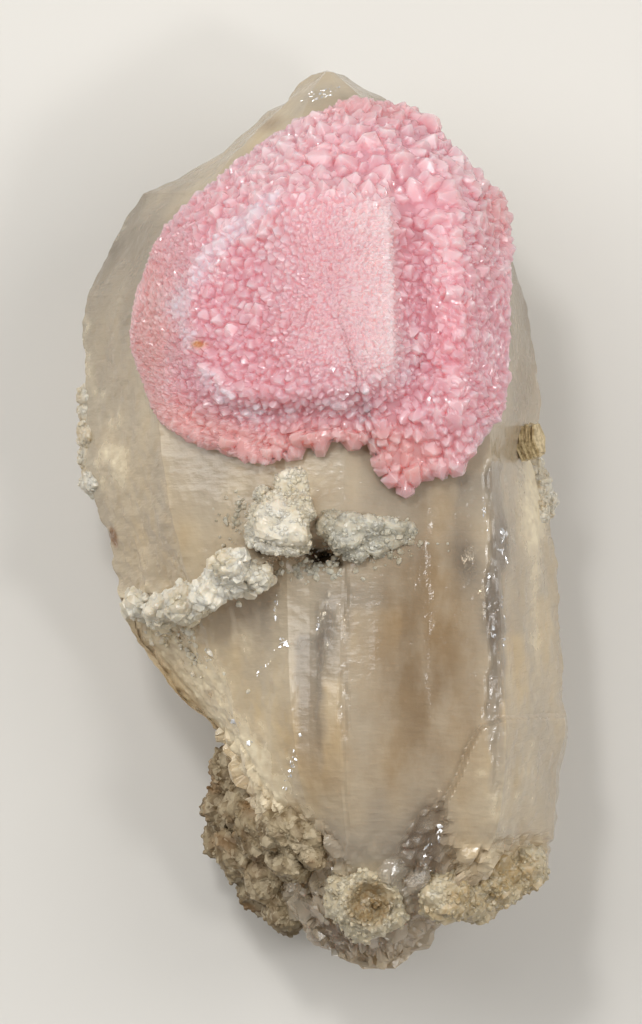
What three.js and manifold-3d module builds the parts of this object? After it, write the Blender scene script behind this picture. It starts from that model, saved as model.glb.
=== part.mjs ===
// A rose quartz specimen: one cloudy, pale smoky quartz crystal, broken off at its foot and lying on its
// back, with a thick crust of small pink rose quartz crystals grown over its tip, and white feldspar,
// mica and stained rock on its seam, its edges and its foot.
// Millimetres. X runs across the crystal, Y along it towards its tip, Z up from the face it lies on.
import * as THREE from "three";
import { mergeVertices } from "three/addons/utils/BufferGeometryUtils.js";
import Module from "manifold-3d";

const wasm = await Module();
wasm.setup();

// Driving dimensions
const HALF_WIDTH = 27.1;
const HALF_LENGTH = 50.2;
const DEPTH = 40; // from the face it lies on to the front face, without the crust
const GAP = 0.3; // left between a piece and the crystal that it grew on
const SLIVER = 0.1; // ledges thinner than this are smoothed away
const CHIP = 3; // loose bits under this many cubic millimetres are left out
const QUARTZ_TIP_SLOPE = Math.tan(THREE.MathUtils.degToRad(51.8)); // a quartz tip's faces to its base

// Places are percentages: x of the half width, y of the half length, z of the depth.
const acrossOf = (percent) => (percent / 100) * HALF_WIDTH;
const alongOf = (percent) => (percent / 100) * HALF_LENGTH;
const heightOf = (percent) => (percent / 100) * DEPTH;

// The crystal seen from the front: [y, x] down its right edge and down its left edge
const RIGHT_OUTLINE = [
  [100, 1], [99, 9], [96, 17], [94, 25], [85, 42], [77, 56], [68, 68], [58, 78], [47, 84], [33, 88],
  [26, 90], [21, 89], [15, 85], [9, 88], [1, 93], [-9, 96], [-31, 99], [-46, 100], [-55, 97],
  [-71, 96], [-76, 93], [-80, 86], [-84, 70], [-88, 52], [-93, 44], [-98, 36], [-100, 27],
];
const LEFT_OUTLINE = [
  [100, 1], [99, -6], [97, -11], [93, -15], [91, -24], [87, -31], [82, -42], [76, -60], [73, -74],
  [68, -81], [58, -90], [50, -98], [44, -100], [27, -98], [12, -98], [2, -93], [-8, -86], [-18, -84],
  [-27, -78], [-33, -70], [-45, -49], [-51, -41], [-60, -33], [-74, -23], [-87, -14], [-94, -2],
  [-99, 11], [-100, 21],
];
// Its long edges, where one flat face meets the next: [y, x, z] from the tip to the foot
const RIGHT_RIDGE = [
  [100, 3, 60], [92, 19, 75], [76, 44, 86], [54, 63, 92], [26, 67, 95], [4, 69, 96], [-40, 74, 96],
  [-56, 74, 93], [-74, 70, 84], [-86, 50, 70], [-96, 35, 55], [-100, 26, 50],
];
const MIDDLE_RIDGE = [
  [100, 2, 61], [92, 9, 77], [72, 11, 92], [26, 9, 100], [4, 8, 101], [-40, 6, 99], [-62, 7, 94],
  [-78, 11, 82], [-92, 20, 65], [-100, 25, 51],
];
const LEFT_RIDGE = [
  [100, 1.5, 61], [92, -10, 74], [72, -14, 91], [26, -16, 97], [4, -16, 99], [-40, -14, 95],
  [-58, -10, 90], [-76, -1, 77], [-92, 11, 61], [-100, 24, 50],
];
const FLANK_RIDGE = [
  [100, 1.2, 59], [90, -22, 63], [72, -52, 72], [49, -68, 78], [22, -68, 84], [4, -64, 86],
  [-16, -55, 83], [-40, -39, 77], [-62, -26, 71], [-80, -12, 63], [-93, 1, 54], [-100, 22, 48],
];
// Height of the two side edges, and of the flat back, which runs below the cut at z = 0
const SIDE_HEIGHT = [[100, 56], [88, 50], [60, 46], [-60, 46], [-88, 46], [-100, 48]];
const BACK_HEIGHT = [
  [100, 52], [92, 30], [80, 8], [70, -3], [-70, -3], [-82, 10], [-94, 30], [-100, 46],
];
const BACK_LEFT_SHARE = 0.74; // how far out the back's edges run, as a share of the outline
const BACK_RIGHT_SHARE = 0.7;

// The seam, from right to left, where the upper growth overhangs the lower: [x, y, step in mm]
const SEAM = [
  [36, 0, 0], [24, -3, 0.5], [11, -7, 1.4], [2, -6, 2.2], [-6, -9, 3], [-16, -6.5, 3.6],
  [-26, -10, 4], [-38, -10.5, 4], [-48, -15.5, 4], [-60, -17, 3.6], [-72, -16, 3.2], [-88, -18, 3],
];
const SEAM_FADE = 26; // mm below the seam where the lower faces are level with the upper again
const SEAM_DEPTH = 14; // mm that the lower growth reaches in under the upper
const UPPER_THICKER = 0.12; // the later growths are this much thicker all round
// The clear plate grown on at the lower right: [x, y] round it, clockwise from its top left
const PLATE = [
  [63, -45], [74, -43], [130, -43], [130, -90], [70, -86], [56, -84], [54, -78], [47, -70],
  [48, -62], [54, -56], [58, -50],
];
const PLATE_RISE = 1.5;

// How the loft is divided: pieces across each face, and how rough that face is, in mm
const FACES = [
  { name: "right face", pieces: 3, rough: 0.35 },
  { name: "front face", pieces: 5, rough: 0.08 },
  { name: "narrow face", pieces: 2, rough: 0.1 },
  { name: "left face", pieces: 5, rough: 0.25 },
  { name: "left flank", pieces: 3, rough: 0.8 },
  { name: "left back", pieces: 2, rough: 0.9 },
  { name: "back", pieces: 2, rough: 0.5 },
  { name: "right back", pieces: 2, rough: 0.9 },
];
const STATIONS = 31;

const mixed = THREE.MathUtils.lerp;
const eased = THREE.MathUtils.smoothstep;

// The value at t of a broken line, whose rows start with t and run downwards
function along(line, t, column = 1) {
  const found = line.findIndex((row) => row[0] <= t);
  const next = found < 0 ? line.length - 1 : Math.max(1, found);
  const [above, below] = [line[next - 1], line[next]];
  const share = THREE.MathUtils.clamp((above[0] - t) / (above[0] - below[0]), 0, 1);
  return mixed(above[column], below[column], share);
}

// A smooth uneven value from -1 to 1: three crossed waves of about the given length
function ripple(x, y, z, length) {
  const k = (2 * Math.PI) / length;
  const first = Math.sin(k * (x + 0.31 * y) + 1.3 + Math.sin(0.47 * k * z));
  const second = Math.sin(k * (0.73 * y - 0.45 * z) + 4.1 + Math.sin(0.53 * k * x));
  const third = Math.sin(k * (0.81 * z + 0.52 * x - 0.4 * y) + 2.2);
  return (first + second + third) / 3;
}

// Repeatable random numbers from 0 to 1
function randomFrom(seed) {
  let state = seed;
  return () => {
    state = (state + 0x6d2b79f5) | 0;
    let t = Math.imul(state ^ (state >>> 15), 1 | state);
    t = (t + Math.imul(t ^ (t >>> 7), 61 | t)) ^ t;
    return ((t ^ (t >>> 14)) >>> 0) / 4294967296;
  };
}

// The corners of the section at y percent, in mm: right edge, four ridges, left edge, two back edges
function section(y) {
  const right = acrossOf(along(RIGHT_OUTLINE, y));
  const left = acrossOf(along(LEFT_OUTLINE, y));
  const side = heightOf(along(SIDE_HEIGHT, y));
  const back = heightOf(along(BACK_HEIGHT, y));
  const ridges = [RIGHT_RIDGE, MIDDLE_RIDGE, LEFT_RIDGE, FLANK_RIDGE].map((ridge) => [
    acrossOf(along(ridge, y)),
    heightOf(along(ridge, y, 2)),
  ]);
  const middle = (right + left) / 2;
  return [
    [right, side],
    ...ridges,
    [left, side],
    [mixed(middle, left, BACK_LEFT_SHARE), back],
    [mixed(middle, right, BACK_RIGHT_SHARE), back],
  ];
}

// How far below the upper growth's faces the lower growth's lie at x, y in mm
function stepDown(x, y) {
  const xPercent = (x / HALF_WIDTH) * 100;
  const below = alongOf(along(SEAM, xPercent)) - y;
  const step = along(SEAM, xPercent, 2) * eased(below, -SEAM_DEPTH, 2 - SEAM_DEPTH);
  return step * (1 - eased(below, 4, SEAM_FADE));
}

// Height of the crystal's front at x, y in mm
function frontHeight(x, y) {
  const corners = section((y / HALF_LENGTH) * 100).slice(0, 6);
  const lower = y < alongOf(along(SEAM, (x / HALF_WIDTH) * 100));
  for (let i = 1; i < corners.length; i += 1) {
    const [[rightX, rightZ], [leftX, leftZ]] = [corners[i - 1], corners[i]];
    if (x >= leftX && x <= rightX) {
      const height = mixed(leftZ, rightZ, (x - leftX) / (rightX - leftX));
      return lower ? height - stepDown(x, y) : height;
    }
  }
  return heightOf(along(SIDE_HEIGHT, (y / HALF_LENGTH) * 100));
}

// A closed surface through rings of points, with a point at each end
function closedLoft(startPoint, rings, endPoint) {
  const points = [startPoint, ...rings.flat(), endPoint];
  const count = rings[0].length;
  const last = points.length - 1;
  const faces = [];
  for (let j = 0; j < count; j += 1) {
    const next = (j + 1) % count;
    faces.push(0, 1 + next, 1 + j);
    for (let i = 0; i + 1 < rings.length; i += 1) {
      const [a, b] = [1 + i * count + j, 1 + i * count + next];
      faces.push(a, b, a + count, b, b + count, a + count);
    }
    const foot = 1 + (rings.length - 1) * count;
    faces.push(foot + j, foot + next, last);
  }
  const geometry = new THREE.BufferGeometry().setFromPoints(points);
  geometry.setIndex(faces);
  return geometry;
}

function solidOf(geometry) {
  const bare = geometry.clone();
  bare.deleteAttribute("normal");
  bare.deleteAttribute("uv");
  const merged = mergeVertices(bare, 1e-4);
  return new wasm.Manifold(
    new wasm.Mesh({
      numProp: 3,
      vertProperties: merged.attributes.position.array,
      triVerts: new Uint32Array(merged.index.array),
    }),
  );
}

function joined(solids) {
  return solids.reduce((whole, one) => whole.add(one));
}

// A solid's separate bodies, without the chips and slivers that a cut leaves
function separate(body) {
  const bodies = body.simplify(SLIVER).decompose();
  return bodies.filter((one) => one.volume() > CHIP).sort((a, b) => b.volume() - a.volume());
}

// The sides of the crystal that a piece can have grown on
const FRONT = [0, 0, 1];
const LEFT = [-1, 0, 0];
const RIGHT = [1, 0, 0];
const TIP = [0, 1, 0];
const FOOT = [0, -1, 0];

// The body less the crystal, with a thin gap on the sides that it touches, as its separate clusters
function grownOn(crystal, body, ...sides) {
  const cutters = sides.map((side) => crystal.translate(side.map((value) => value * GAP)));
  return separate(cutters.reduce((left, cutter) => left.subtract(cutter), body.subtract(crystal)));
}

// One ring of the crystal: the section's faces divided and roughened, grown outwards all round by
// thicker mm, and the front lifted by lift(x, y)
function crystalRing(y, thicker, lift) {
  const corners = section(y);
  const [yMm, middleZ] = [alongOf(y), heightOf(along(SIDE_HEIGHT, y))];
  const middleX = (corners[0][0] + corners[5][0]) / 2;
  return FACES.flatMap((face, i) => {
    const [from, to] = [corners[i], corners[(i + 1) % corners.length]];
    return Array.from({ length: face.pieces }, (_, j) => {
      const share = j / face.pieces;
      const [x, z] = [mixed(from[0], to[0], share), mixed(from[1], to[1], share)];
      const out = new THREE.Vector2(x - middleX, z - middleZ).normalize();
      const bump = face.rough * (ripple(x, yMm, z, 9) + 0.6 * ripple(z, x, yMm, 4)) + thicker;
      const raised = i < 5 && i + j > 0 ? lift(x, yMm) : 0;
      return new THREE.Vector3(x + out.x * bump, yMm, z + out.y * bump + raised);
    });
  });
}

function crystalBody(thicker, lift) {
  const rings = [];
  for (let i = 0; i < STATIONS; i += 1) {
    const share = (i + 0.5) / STATIONS;
    rings.push(crystalRing(mixed(99.6, -99.4, share), thicker, lift));
  }
  const tip = new THREE.Vector3(acrossOf(1.2), HALF_LENGTH, heightOf(58));
  const foot = new THREE.Vector3(acrossOf(25), -HALF_LENGTH, heightOf(49));
  return solidOf(closedLoft(tip, rings, foot));
}

// The part of a body that lies within an outline seen from the front
function withinOutline(body, outline) {
  const corners = outline.map(([x, y]) => new THREE.Vector2(acrossOf(x), alongOf(y)));
  const shape = new THREE.Shape(corners);
  const prism = new THREE.ExtrudeGeometry(shape, { depth: DEPTH, bevelEnabled: false });
  return body.intersect(solidOf(prism.translate(0, 0, heightOf(40))));
}

// The whole crystal: its lower growth, the upper growth that overhangs it along the seam, and the plate
function smokyQuartz() {
  const lower = crystalBody(0, (x, y) => -stepDown(x, y));
  const aboveSeam = [...SEAM, [-130, -18], [-130, 26], [-60, 42], [20, 42], [31, 20]];
  const upper = withinOutline(crystalBody(UPPER_THICKER, () => 0), aboveSeam);
  const plate = withinOutline(crystalBody(UPPER_THICKER, () => PLATE_RISE), PLATE);
  const knobs = stones(FOOT_KNOBS, 0.3, 1);
  const floor = new THREE.BoxGeometry(4 * HALF_WIDTH, 4 * HALF_LENGTH, DEPTH);
  const below = solidOf(floor.translate(0, 0, -DEPTH / 2));
  const grown = joined([lower, upper, plate, knobs]).subtract(below);
  const pits = CLEFTS.map(({ x, y, wide, deep }) => {
    const top = new THREE.Vector3(acrossOf(x), alongOf(y), 0);
    top.z = frontHeight(top.x, top.y);
    return solidOf(lump(top, [wide, wide * 0.7, deep], 0.1, 1));
  });
  return separate(pits.reduce((left, pit) => left.subtract(pit), grown))[0];
}

// An uneven rounded stone: a ball of unit size, roughened, scaled to three half sizes and put in place
function lump(centre, halfSizes, rough, detail = 2) {
  const ball = new THREE.OctahedronGeometry(1, detail);
  const points = ball.attributes.position;
  for (let i = 0; i < points.count; i += 1) {
    const p = new THREE.Vector3().fromBufferAttribute(points, i);
    const swell = 1 + rough * ripple(p.x + centre.x, p.y + centre.y, p.z, 1.7);
    points.setXYZ(i, ...p.multiplyScalar(swell).toArray());
  }
  return ball.scale(...halfSizes).translate(...centre.toArray());
}

// A blocky feldspar crystal: a box whose corners are pulled about a little, turned and put in place
function block(centre, halfSizes, turn, random) {
  const box = new THREE.BoxGeometry(2, 2, 2);
  const points = box.attributes.position;
  const pulls = new Map();
  for (let i = 0; i < points.count; i += 1) {
    const p = new THREE.Vector3().fromBufferAttribute(points, i);
    const corner = p.toArray().join();
    if (!pulls.has(corner)) pulls.set(corner, 0.72 + 0.28 * random());
    points.setXYZ(i, ...p.multiplyScalar(pulls.get(corner)).toArray());
  }
  box.scale(...halfSizes);
  box.rotateX(turn[0]).rotateY(turn[1]).rotateZ(turn[2]);
  return box.translate(...centre.toArray());
}

// A quartz crystal from foot to tip: a six-sided prism under a six-sided point, along its axis
function quartzPoint(foot, axis, radius, prismLength, turn) {
  const up = axis.clone().normalize();
  const level = new THREE.Quaternion().setFromUnitVectors(new THREE.Vector3(0, 0, 1), up);
  const hexagon = (height) =>
    Array.from({ length: 6 }, (_, k) => {
      const angle = turn + (k * Math.PI) / 3;
      const uneven = k % 2 ? 0.88 : 1.05;
      return new THREE.Vector3(Math.cos(angle) * radius, Math.sin(angle) * radius, height)
        .multiply(new THREE.Vector3(uneven, uneven, 1))
        .applyQuaternion(level)
        .add(foot);
    });
  const tip = foot.clone().addScaledVector(up, prismLength + radius * QUARTZ_TIP_SLOPE * 0.9);
  return closedLoft(tip, [hexagon(prismLength), hexagon(0)].map((ring) => ring.reverse()), foot);
}

// Clefts in the seam: place in percent, half width and depth in mm
const CLEFTS = [
  { x: -4, y: -6.5, wide: 1.7, deep: 3.2 },
  { x: 3, y: -7.2, wide: 1.3, deep: 2.4 },
  { x: -24, y: -5.8, wide: 1.3, deep: 2.6 },
];

// The rose quartz crust: [x, y] round its rim, in percent, clockwise from the tip
const CRUST_RIM = [
  [24, 93], [39, 91], [52, 84], [61, 78], [74, 71], [77, 62], [76, 49], [75, 28], [68, 20],
  [54, 11], [42, 9], [31, 7], [23, 12], [15, 17], [-9, 16], [-25, 12.5], [-46, 16], [-66, 21],
  [-75, 31], [-80, 41], [-74, 56], [-64, 66], [-46, 75], [-25, 84], [-8, 89], [9, 93],
];
const CRUST_CENTRE = [3, 51];
const CRUST_EDGE_THICKNESS = 2.4;
const CRUST_THICKNESS = 3.6;
const CRUST_FLOOR = 62; // how far down its rim reaches where it overhangs the crystal, in percent
// The raised inner growth, a rounded rectangle: its middle in percent, half sizes and rise in mm
const INNER_GROWTH = { x: -12, y: 50, halfWidth: 12.6, halfHeight: 12.6, rise: 2.3, slope: 0.16 };
// The rounded ridge down the right of the crust
const BULGE = { x: 54, halfWidth: 3.6, rise: 3.2 };
// The smooth flat on the inner growth: [x, y] round it, clockwise, and its rise and slope in mm
const FLAT_TOP = [[-12, 66], [6, 69], [26, 69], [29, 50], [31, 31], [10, 28], [-11, 30], [-15, 48]];
const FLAT_RISE = 1.9;
const FLAT_SLOPE = 1.3;
// The small crystals all over the crust: rings and sectors of its surface, whose every third point is
// a tip with the six points round it for a foot
const CRUST_RINGS = 13;
const CRUST_SECTORS = 48;
const TIP_RISE = [0.5, 1.7];
const TIP_DRIFT = 0.35; // how far a point strays from its even place, as a share of the spacing

// Height of the crust's plain top at x, y, away from its rim
function crustTop(x, y) {
  const u = Math.abs((x - acrossOf(INNER_GROWTH.x)) / INNER_GROWTH.halfWidth);
  const v = Math.abs((y - alongOf(INNER_GROWTH.y)) / INNER_GROWTH.halfHeight);
  const { rise, slope } = INNER_GROWTH;
  const inner = rise * (1 - eased((u ** 4 + v ** 4) ** 0.25, 1 - slope, 1 + slope));
  const across = Math.exp(-(((x - acrossOf(BULGE.x)) / BULGE.halfWidth) ** 2));
  const length = eased(y, alongOf(6), alongOf(30)) * (1 - eased(y, alongOf(70), alongOf(92)));
  return frontHeight(x, y) + CRUST_THICKNESS + inner + BULGE.rise * across * length;
}

// A point of the crust's top: share 0 is its centre and 1 its rim, and turn goes round it from 0 to 1
function crustPoint(share, turn) {
  const place = (((turn % 1) + 1) % 1) * CRUST_RIM.length;
  const [i, part] = [Math.floor(place), place % 1];
  const [from, to] = [CRUST_RIM[i], CRUST_RIM[(i + 1) % CRUST_RIM.length]];
  const rim = [acrossOf(mixed(from[0], to[0], part)), alongOf(mixed(from[1], to[1], part))];
  const x = mixed(acrossOf(CRUST_CENTRE[0]), rim[0], share);
  const y = mixed(alongOf(CRUST_CENTRE[1]), rim[1], share);
  const fall = (CRUST_THICKNESS - CRUST_EDGE_THICKNESS) * eased(share, 0.6, 1);
  return new THREE.Vector3(x, y, Math.max(crustTop(x, y) - fall, heightOf(CRUST_FLOOR) + 1));
}

// The direction square to the crust's plain top at a point
function crustNormal({ x, y }) {
  const reach = 0.8;
  const slopeX = (crustTop(x + reach, y) - crustTop(x - reach, y)) / (2 * reach);
  const slopeY = (crustTop(x, y + reach) - crustTop(x, y - reach)) / (2 * reach);
  return new THREE.Vector3(-slopeX, -slopeY, 1).normalize();
}

// The crust's body: rings of crystal tips from its middle out to the rim, down its side and in under it
function crustBody() {
  const random = randomFrom(11);
  const drift = () => TIP_DRIFT * (random() - 0.5);
  const ringOf = (i, share, place) =>
    Array.from({ length: CRUST_SECTORS }, (_, j) => {
      const moved = share + drift() / CRUST_RINGS;
      const point = crustPoint(moved, (j + i / 2 + drift()) / CRUST_SECTORS);
      return place(point, (j + 2 * i) % 3 === 0);
    });
  const withTips = (point, isTip) => {
    const rise = isTip ? mixed(...TIP_RISE, random()) : -0.5 * random();
    return point.clone().addScaledVector(crustNormal(point), rise);
  };
  const rings = [];
  for (let i = 1; i <= CRUST_RINGS; i += 1) rings.push(ringOf(i, (0.98 * i) / CRUST_RINGS, withTips));
  const floor = heightOf(CRUST_FLOOR);
  const side = CRUST_RINGS + 1;
  rings.push(ringOf(side, 1, (p, isTip) => p.setZ(p.z - (isTip ? 0.9 : 1.8))));
  rings.push(ringOf(side + 1, 0.95, (p) => p.setZ(Math.max(floor + 0.5, p.z - 7))));
  rings.push(ringOf(side + 2, 0.85, (p) => p.setZ(floor)));
  const top = new THREE.Vector3(acrossOf(CRUST_CENTRE[0]), alongOf(CRUST_CENTRE[1]), 0);
  const under = top.clone().setZ(floor);
  return solidOf(closedLoft(top.setZ(crustTop(top.x, top.y)), rings, under));
}

// The smooth flat: a slab on the inner growth, with its sides drawn in towards the top
function flatTop() {
  const foot = FLAT_TOP.map(([x, y]) => new THREE.Vector3(acrossOf(x), alongOf(y), 0));
  const middle = foot.reduce((sum, p) => sum.add(p), new THREE.Vector3()).divideScalar(foot.length);
  const ring = (inset, height) =>
    foot.map((p) => {
      const moved = p.clone().lerp(middle, inset / p.distanceTo(middle));
      return moved.setZ(crustTop(moved.x, moved.y) + height);
    });
  const top = middle.clone().setZ(crustTop(middle.x, middle.y) + FLAT_RISE);
  const under = middle.clone().setZ(top.z - FLAT_RISE - 3);
  const rings = [ring(2.2 * FLAT_SLOPE, FLAT_RISE), ring(FLAT_SLOPE, FLAT_RISE - 0.3), ring(0, -1)];
  return solidOf(closedLoft(top, rings, under));
}

// Whether x, y lies on the smooth flat
function onFlat(x, y) {
  let inside = false;
  FLAT_TOP.forEach(([endX, endY], i) => {
    const [startX, startY] = FLAT_TOP[(i + 1) % FLAT_TOP.length];
    const crosses = alongOf(startY) > y !== alongOf(endY) > y;
    const share = (y - alongOf(startY)) / (alongOf(endY) - alongOf(startY));
    if (crosses && x < acrossOf(mixed(endX, startX, 1 - share))) inside = !inside;
  });
  return inside;
}

// The larger crystals, spiralling out from the crust's middle so that they lie evenly, and round its rim
const CRYSTALS = 11;
const RIM_CRYSTALS = 6;
const GOLDEN_TURN = (3 - Math.sqrt(5)) / 2;
const CRYSTAL_RADIUS = [1.4, 2.4];
const RIM_CRYSTAL_RADIUS = [1.4, 2.0];

function crustCrystals() {
  const random = randomFrom(7);
  const made = [];
  const add = (foot, axis, lean, radius) => {
    const tilt = new THREE.Vector3(random() - 0.5, random() - 0.5, random() - 0.5).multiplyScalar(lean);
    const up = axis.clone().add(tilt).normalize();
    const start = foot.clone().addScaledVector(up, -1.8);
    made.push(solidOf(quartzPoint(start, up, radius, 1.3 + 0.8 * random(), random() * Math.PI)));
  };
  for (let i = 0; i < CRYSTALS; i += 1) {
    const foot = crustPoint(0.93 * Math.sqrt((i + 0.5) / CRYSTALS), i * GOLDEN_TURN);
    const large = eased(foot.y, alongOf(55), alongOf(80)) * eased(foot.x, -5, 8);
    const size = mixed(...CRYSTAL_RADIUS, 0.55 * random() + 0.45 * large);
    if (!onFlat(foot.x, foot.y)) add(foot, crustNormal(foot), 1.2, size);
  }
  for (let i = 0; i < RIM_CRYSTALS; i += 1) {
    const turn = (i + 0.5 * random()) / RIM_CRYSTALS;
    const foot = crustPoint(0.97, turn);
    const out = foot.clone().sub(crustPoint(0.6, turn)).setZ(0).normalize();
    foot.z -= 1 + random();
    add(foot, out.add(new THREE.Vector3(0, 0, 0.4)), 0.7, mixed(...RIM_CRYSTAL_RADIUS, random()));
  }
  return made;
}

function roseQuartzCrust(crystal) {
  const whole = joined([crustBody(), flatTop(), ...crustCrystals()]);
  return grownOn(crystal, whole, FRONT, LEFT, RIGHT, TIP).slice(0, 1);
}

// Stones that make up a piece: [x, y] in percent, height of the middle over the crystal's front in mm,
// and half sizes in mm
const ALBITE_CHAIN = [
  [-74, -19, 1.4, 2.4, 1.8, 4.4], [-65, -19.5, 2.0, 2.5, 1.8, 4.2], [-56, -18, 2.8, 2.3, 2.2, 3.0],
  [-48, -16, 3.0, 1.8, 1.8, 2.3], [-42, -13.5, 3.2, 1.9, 1.8, 2.4], [-35, -13.2, 3.4, 1.9, 1.6, 2.3],
  [-28, -12.6, 3.2, 1.8, 1.5, 2.2], [-38, -10, 2.4, 1.8, 1.8, 2.2],
];
const CLEFT_FELDSPAR = [
  [3, -1.5, -0.3, 1.9, 1.6, 1.6], [11, -2.5, 0, 2.1, 1.8, 1.8], [18, -1.5, 0, 1.7, 1.4, 1.5],
  [20, -5, 0, 1.8, 1.5, 1.3], [27, -2.5, -0.2, 2.0, 1.7, 1.3], [33, -2, -0.3, 1.4, 1.3, 1.0],
  [13, -7, 0, 1.5, 1.2, 1.3], [6, -4.5, 0.2, 1.3, 1.2, 1.6],
];
const LEFT_EDGE_ALBITE = [
  [-96, 28, -2.6, 1.5, 1.5, 2.1], [-96, 24, -3.4, 1.6, 1.7, 2.3], [-96, 19.5, -2.6, 1.6, 1.8, 2.4],
  [-96, 14.5, -3.4, 1.6, 1.8, 2.4], [-94, 9, -2.5, 1.9, 2.1, 2.7],
];
const RIGHT_EDGE_ALBITE = [
  [86, 11.5, -4, 1.6, 1.7, 2.4], [88, 9, -6, 1.7, 1.7, 2.6], [87, 6.5, -3.6, 1.8, 1.7, 2.5],
  [90, 4, -6, 1.8, 1.8, 2.8], [87, 1.5, -4, 1.7, 1.7, 2.6],
];
const BASE_FELDSPAR = [
  [50, -83, 0.6, 2.9, 2.8, 3.4], [60, -84, 0.6, 3.1, 2.8, 4.2], [70, -81, 0, 3.3, 3.0, 5.2],
  [79, -77, -1, 3.2, 2.8, 5.6],
];
const MATRIX_LUMP = [
  [-38, -57, -6, 2.5, 2.8, 3.8], [-38, -64, -9, 3.3, 3.4, 4.4], [-31, -64, -4, 3.2, 3.6, 4.2],
  [-37, -70, -12, 3.1, 3.6, 4.8], [-30, -74, -7, 3.7, 4.0, 4.8], [-25, -70, -2.0, 3.0, 3.4, 4.0],
  [-23, -81, -10, 3.5, 3.8, 5.0], [-20, -79, -4.0, 3.2, 3.6, 4.4], [-14, -86, -5, 3.0, 3.4, 4.6],
];
const FOOT_CRUST = [
  [-18, -69, 0.2, 2.6, 2.8, 3.2], [-14, -69, 0.4, 2.6, 2.8, 2.8], [-8, -70, 0.2, 2.3, 2.2, 2.2],
  [-13, -75, 0.2, 2.6, 2.8, 3.0], [-4, -73, 0, 1.9, 2.0, 1.8],
];
// Broken bits of clear quartz on the crystal's foot, grown in one piece with it
const FOOT_KNOBS = [
  [-2, -88, -1, 2.6, 2.8, 3.4], [5, -90, -1.2, 2.8, 2.6, 3.6], [13, -92, -1.5, 2.6, 2.4, 3.8],
  [23, -93, -1.4, 2.6, 2.4, 3.8], [31, -90, -0.8, 2.4, 3.0, 3.2], [36, -85, -0.4, 2.6, 3.2, 2.6],
  [36, -76, -0.2, 2.2, 3.6, 1.9], [40, -70, -0.1, 1.6, 3.0, 1.4], [28, -80, -0.3, 2.0, 2.6, 1.8],
];

// The middle of a stone, from its place in percent and its height over the crystal's front in mm
function stoneCentre([x, y, over]) {
  const [across, up] = [acrossOf(x), alongOf(y)];
  return new THREE.Vector3(across, up, frontHeight(across, up) + over);
}

// Rounded stones, joined
function stones(rows, rough, detail) {
  return joined(rows.map((row) => solidOf(lump(stoneCentre(row), row.slice(3), rough, detail))));
}

// Angular stones, each turned a little its own way, joined
function blocks(rows, seed, twist = 0.9) {
  const random = randomFrom(seed);
  return joined(
    rows.map((row) => {
      const turn = [0, 1, 2].map((axis) => (axis === 2 ? twist : 0.5 * twist) * (random() - 0.5));
      return solidOf(block(stoneCentre(row), row.slice(3), turn, random));
    }),
  );
}

// The white block in the middle of the seam, with smaller blocks and two beads grown on its edge
function albiteBlock(crystal) {
  const rows = [
    [-17, -0.5, 0.9, 3.3, 2.7, 2.4], [-24, 0.5, 0.6, 1.7, 1.9, 1.8], [-19, -4.5, 0.4, 2.3, 1.5, 1.9],
    [-12, -5, 0, 1.7, 1.4, 1.6], [-27, -3, 0.2, 1.4, 1.4, 1.5], [-11, 2.2, 0.6, 1.9, 1.6, 1.7],
    [-13, 6.5, 0.1, 2.1, 2.5, 1.4], [-20, 3.5, 0.8, 1.8, 1.5, 1.6],
  ];
  const beads = stones([[-25, 5.6, 0.5, 1.0, 1.0, 1.2], [-23, 3, 0.5, 1.1, 1.2, 1.2]], 0.1, 1);
  return grownOn(crystal, joined([blocks(rows, 21), beads]), FRONT, FOOT);
}

// A book of mica: thin six-sided leaves, each set a little off the last
function micaBook(crystal) {
  const leaves = 5;
  const [thick, wide, tall] = [0.62, 1.5, 2.3];
  const centre = new THREE.Vector3(acrossOf(86.5), alongOf(18.2), 0);
  centre.z = heightOf(62);
  const book = joined(
    Array.from({ length: leaves }, (_, i) => {
      const shape = new THREE.Shape(
        Array.from({ length: 6 }, (__, k) => {
          const angle = (k * Math.PI) / 3 + 0.3;
          return new THREE.Vector2(Math.cos(angle) * wide * 1.25, Math.sin(angle) * tall);
        }),
      );
      const leaf = new THREE.ExtrudeGeometry(shape, { depth: thick, bevelEnabled: false });
      const size = 1 - 0.09 * Math.abs(i - 1.5);
      leaf.scale(size, size, 1).translate(0.18 * Math.sin(2.3 * i), 0.22 * Math.cos(1.9 * i), 0);
      return solidOf(leaf.translate(0, 0, (i - leaves / 2) * (thick - 0.04)));
    }),
  );
  const leaning = book.rotate([0, 62, 12]).translate(centre.toArray());
  return grownOn(crystal, leaning, RIGHT, FRONT);
}

// The round nodule at the foot: a lump with a hollow in its middle
function baseNodule(crystal) {
  const centre = stoneCentre([17, -83.5, -0.6]);
  const body = solidOf(lump(centre, [4.5, 4.6, 3.8], 0.16, 2));
  const hollow = solidOf(lump(centre.clone().setZ(centre.z + 3.6), [1.7, 1.5, 2.0], 0.15, 1));
  return grownOn(crystal, body.subtract(hollow), FRONT, FOOT);
}

// The finished specimen, each piece a named mesh in its own colour
const FINISHES = {
  smoky_quartz: { color: 0xa5937c, roughness: 0.2 },
  rose_quartz_crust: { color: 0xdf9fa9, roughness: 0.35 },
  white_feldspar: { color: 0xd8cfc0, roughness: 0.6 },
  stained_rock: { color: 0x8f7c62, roughness: 0.85 },
  mica: { color: 0x9a8560, roughness: 0.4 },
};

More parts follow.
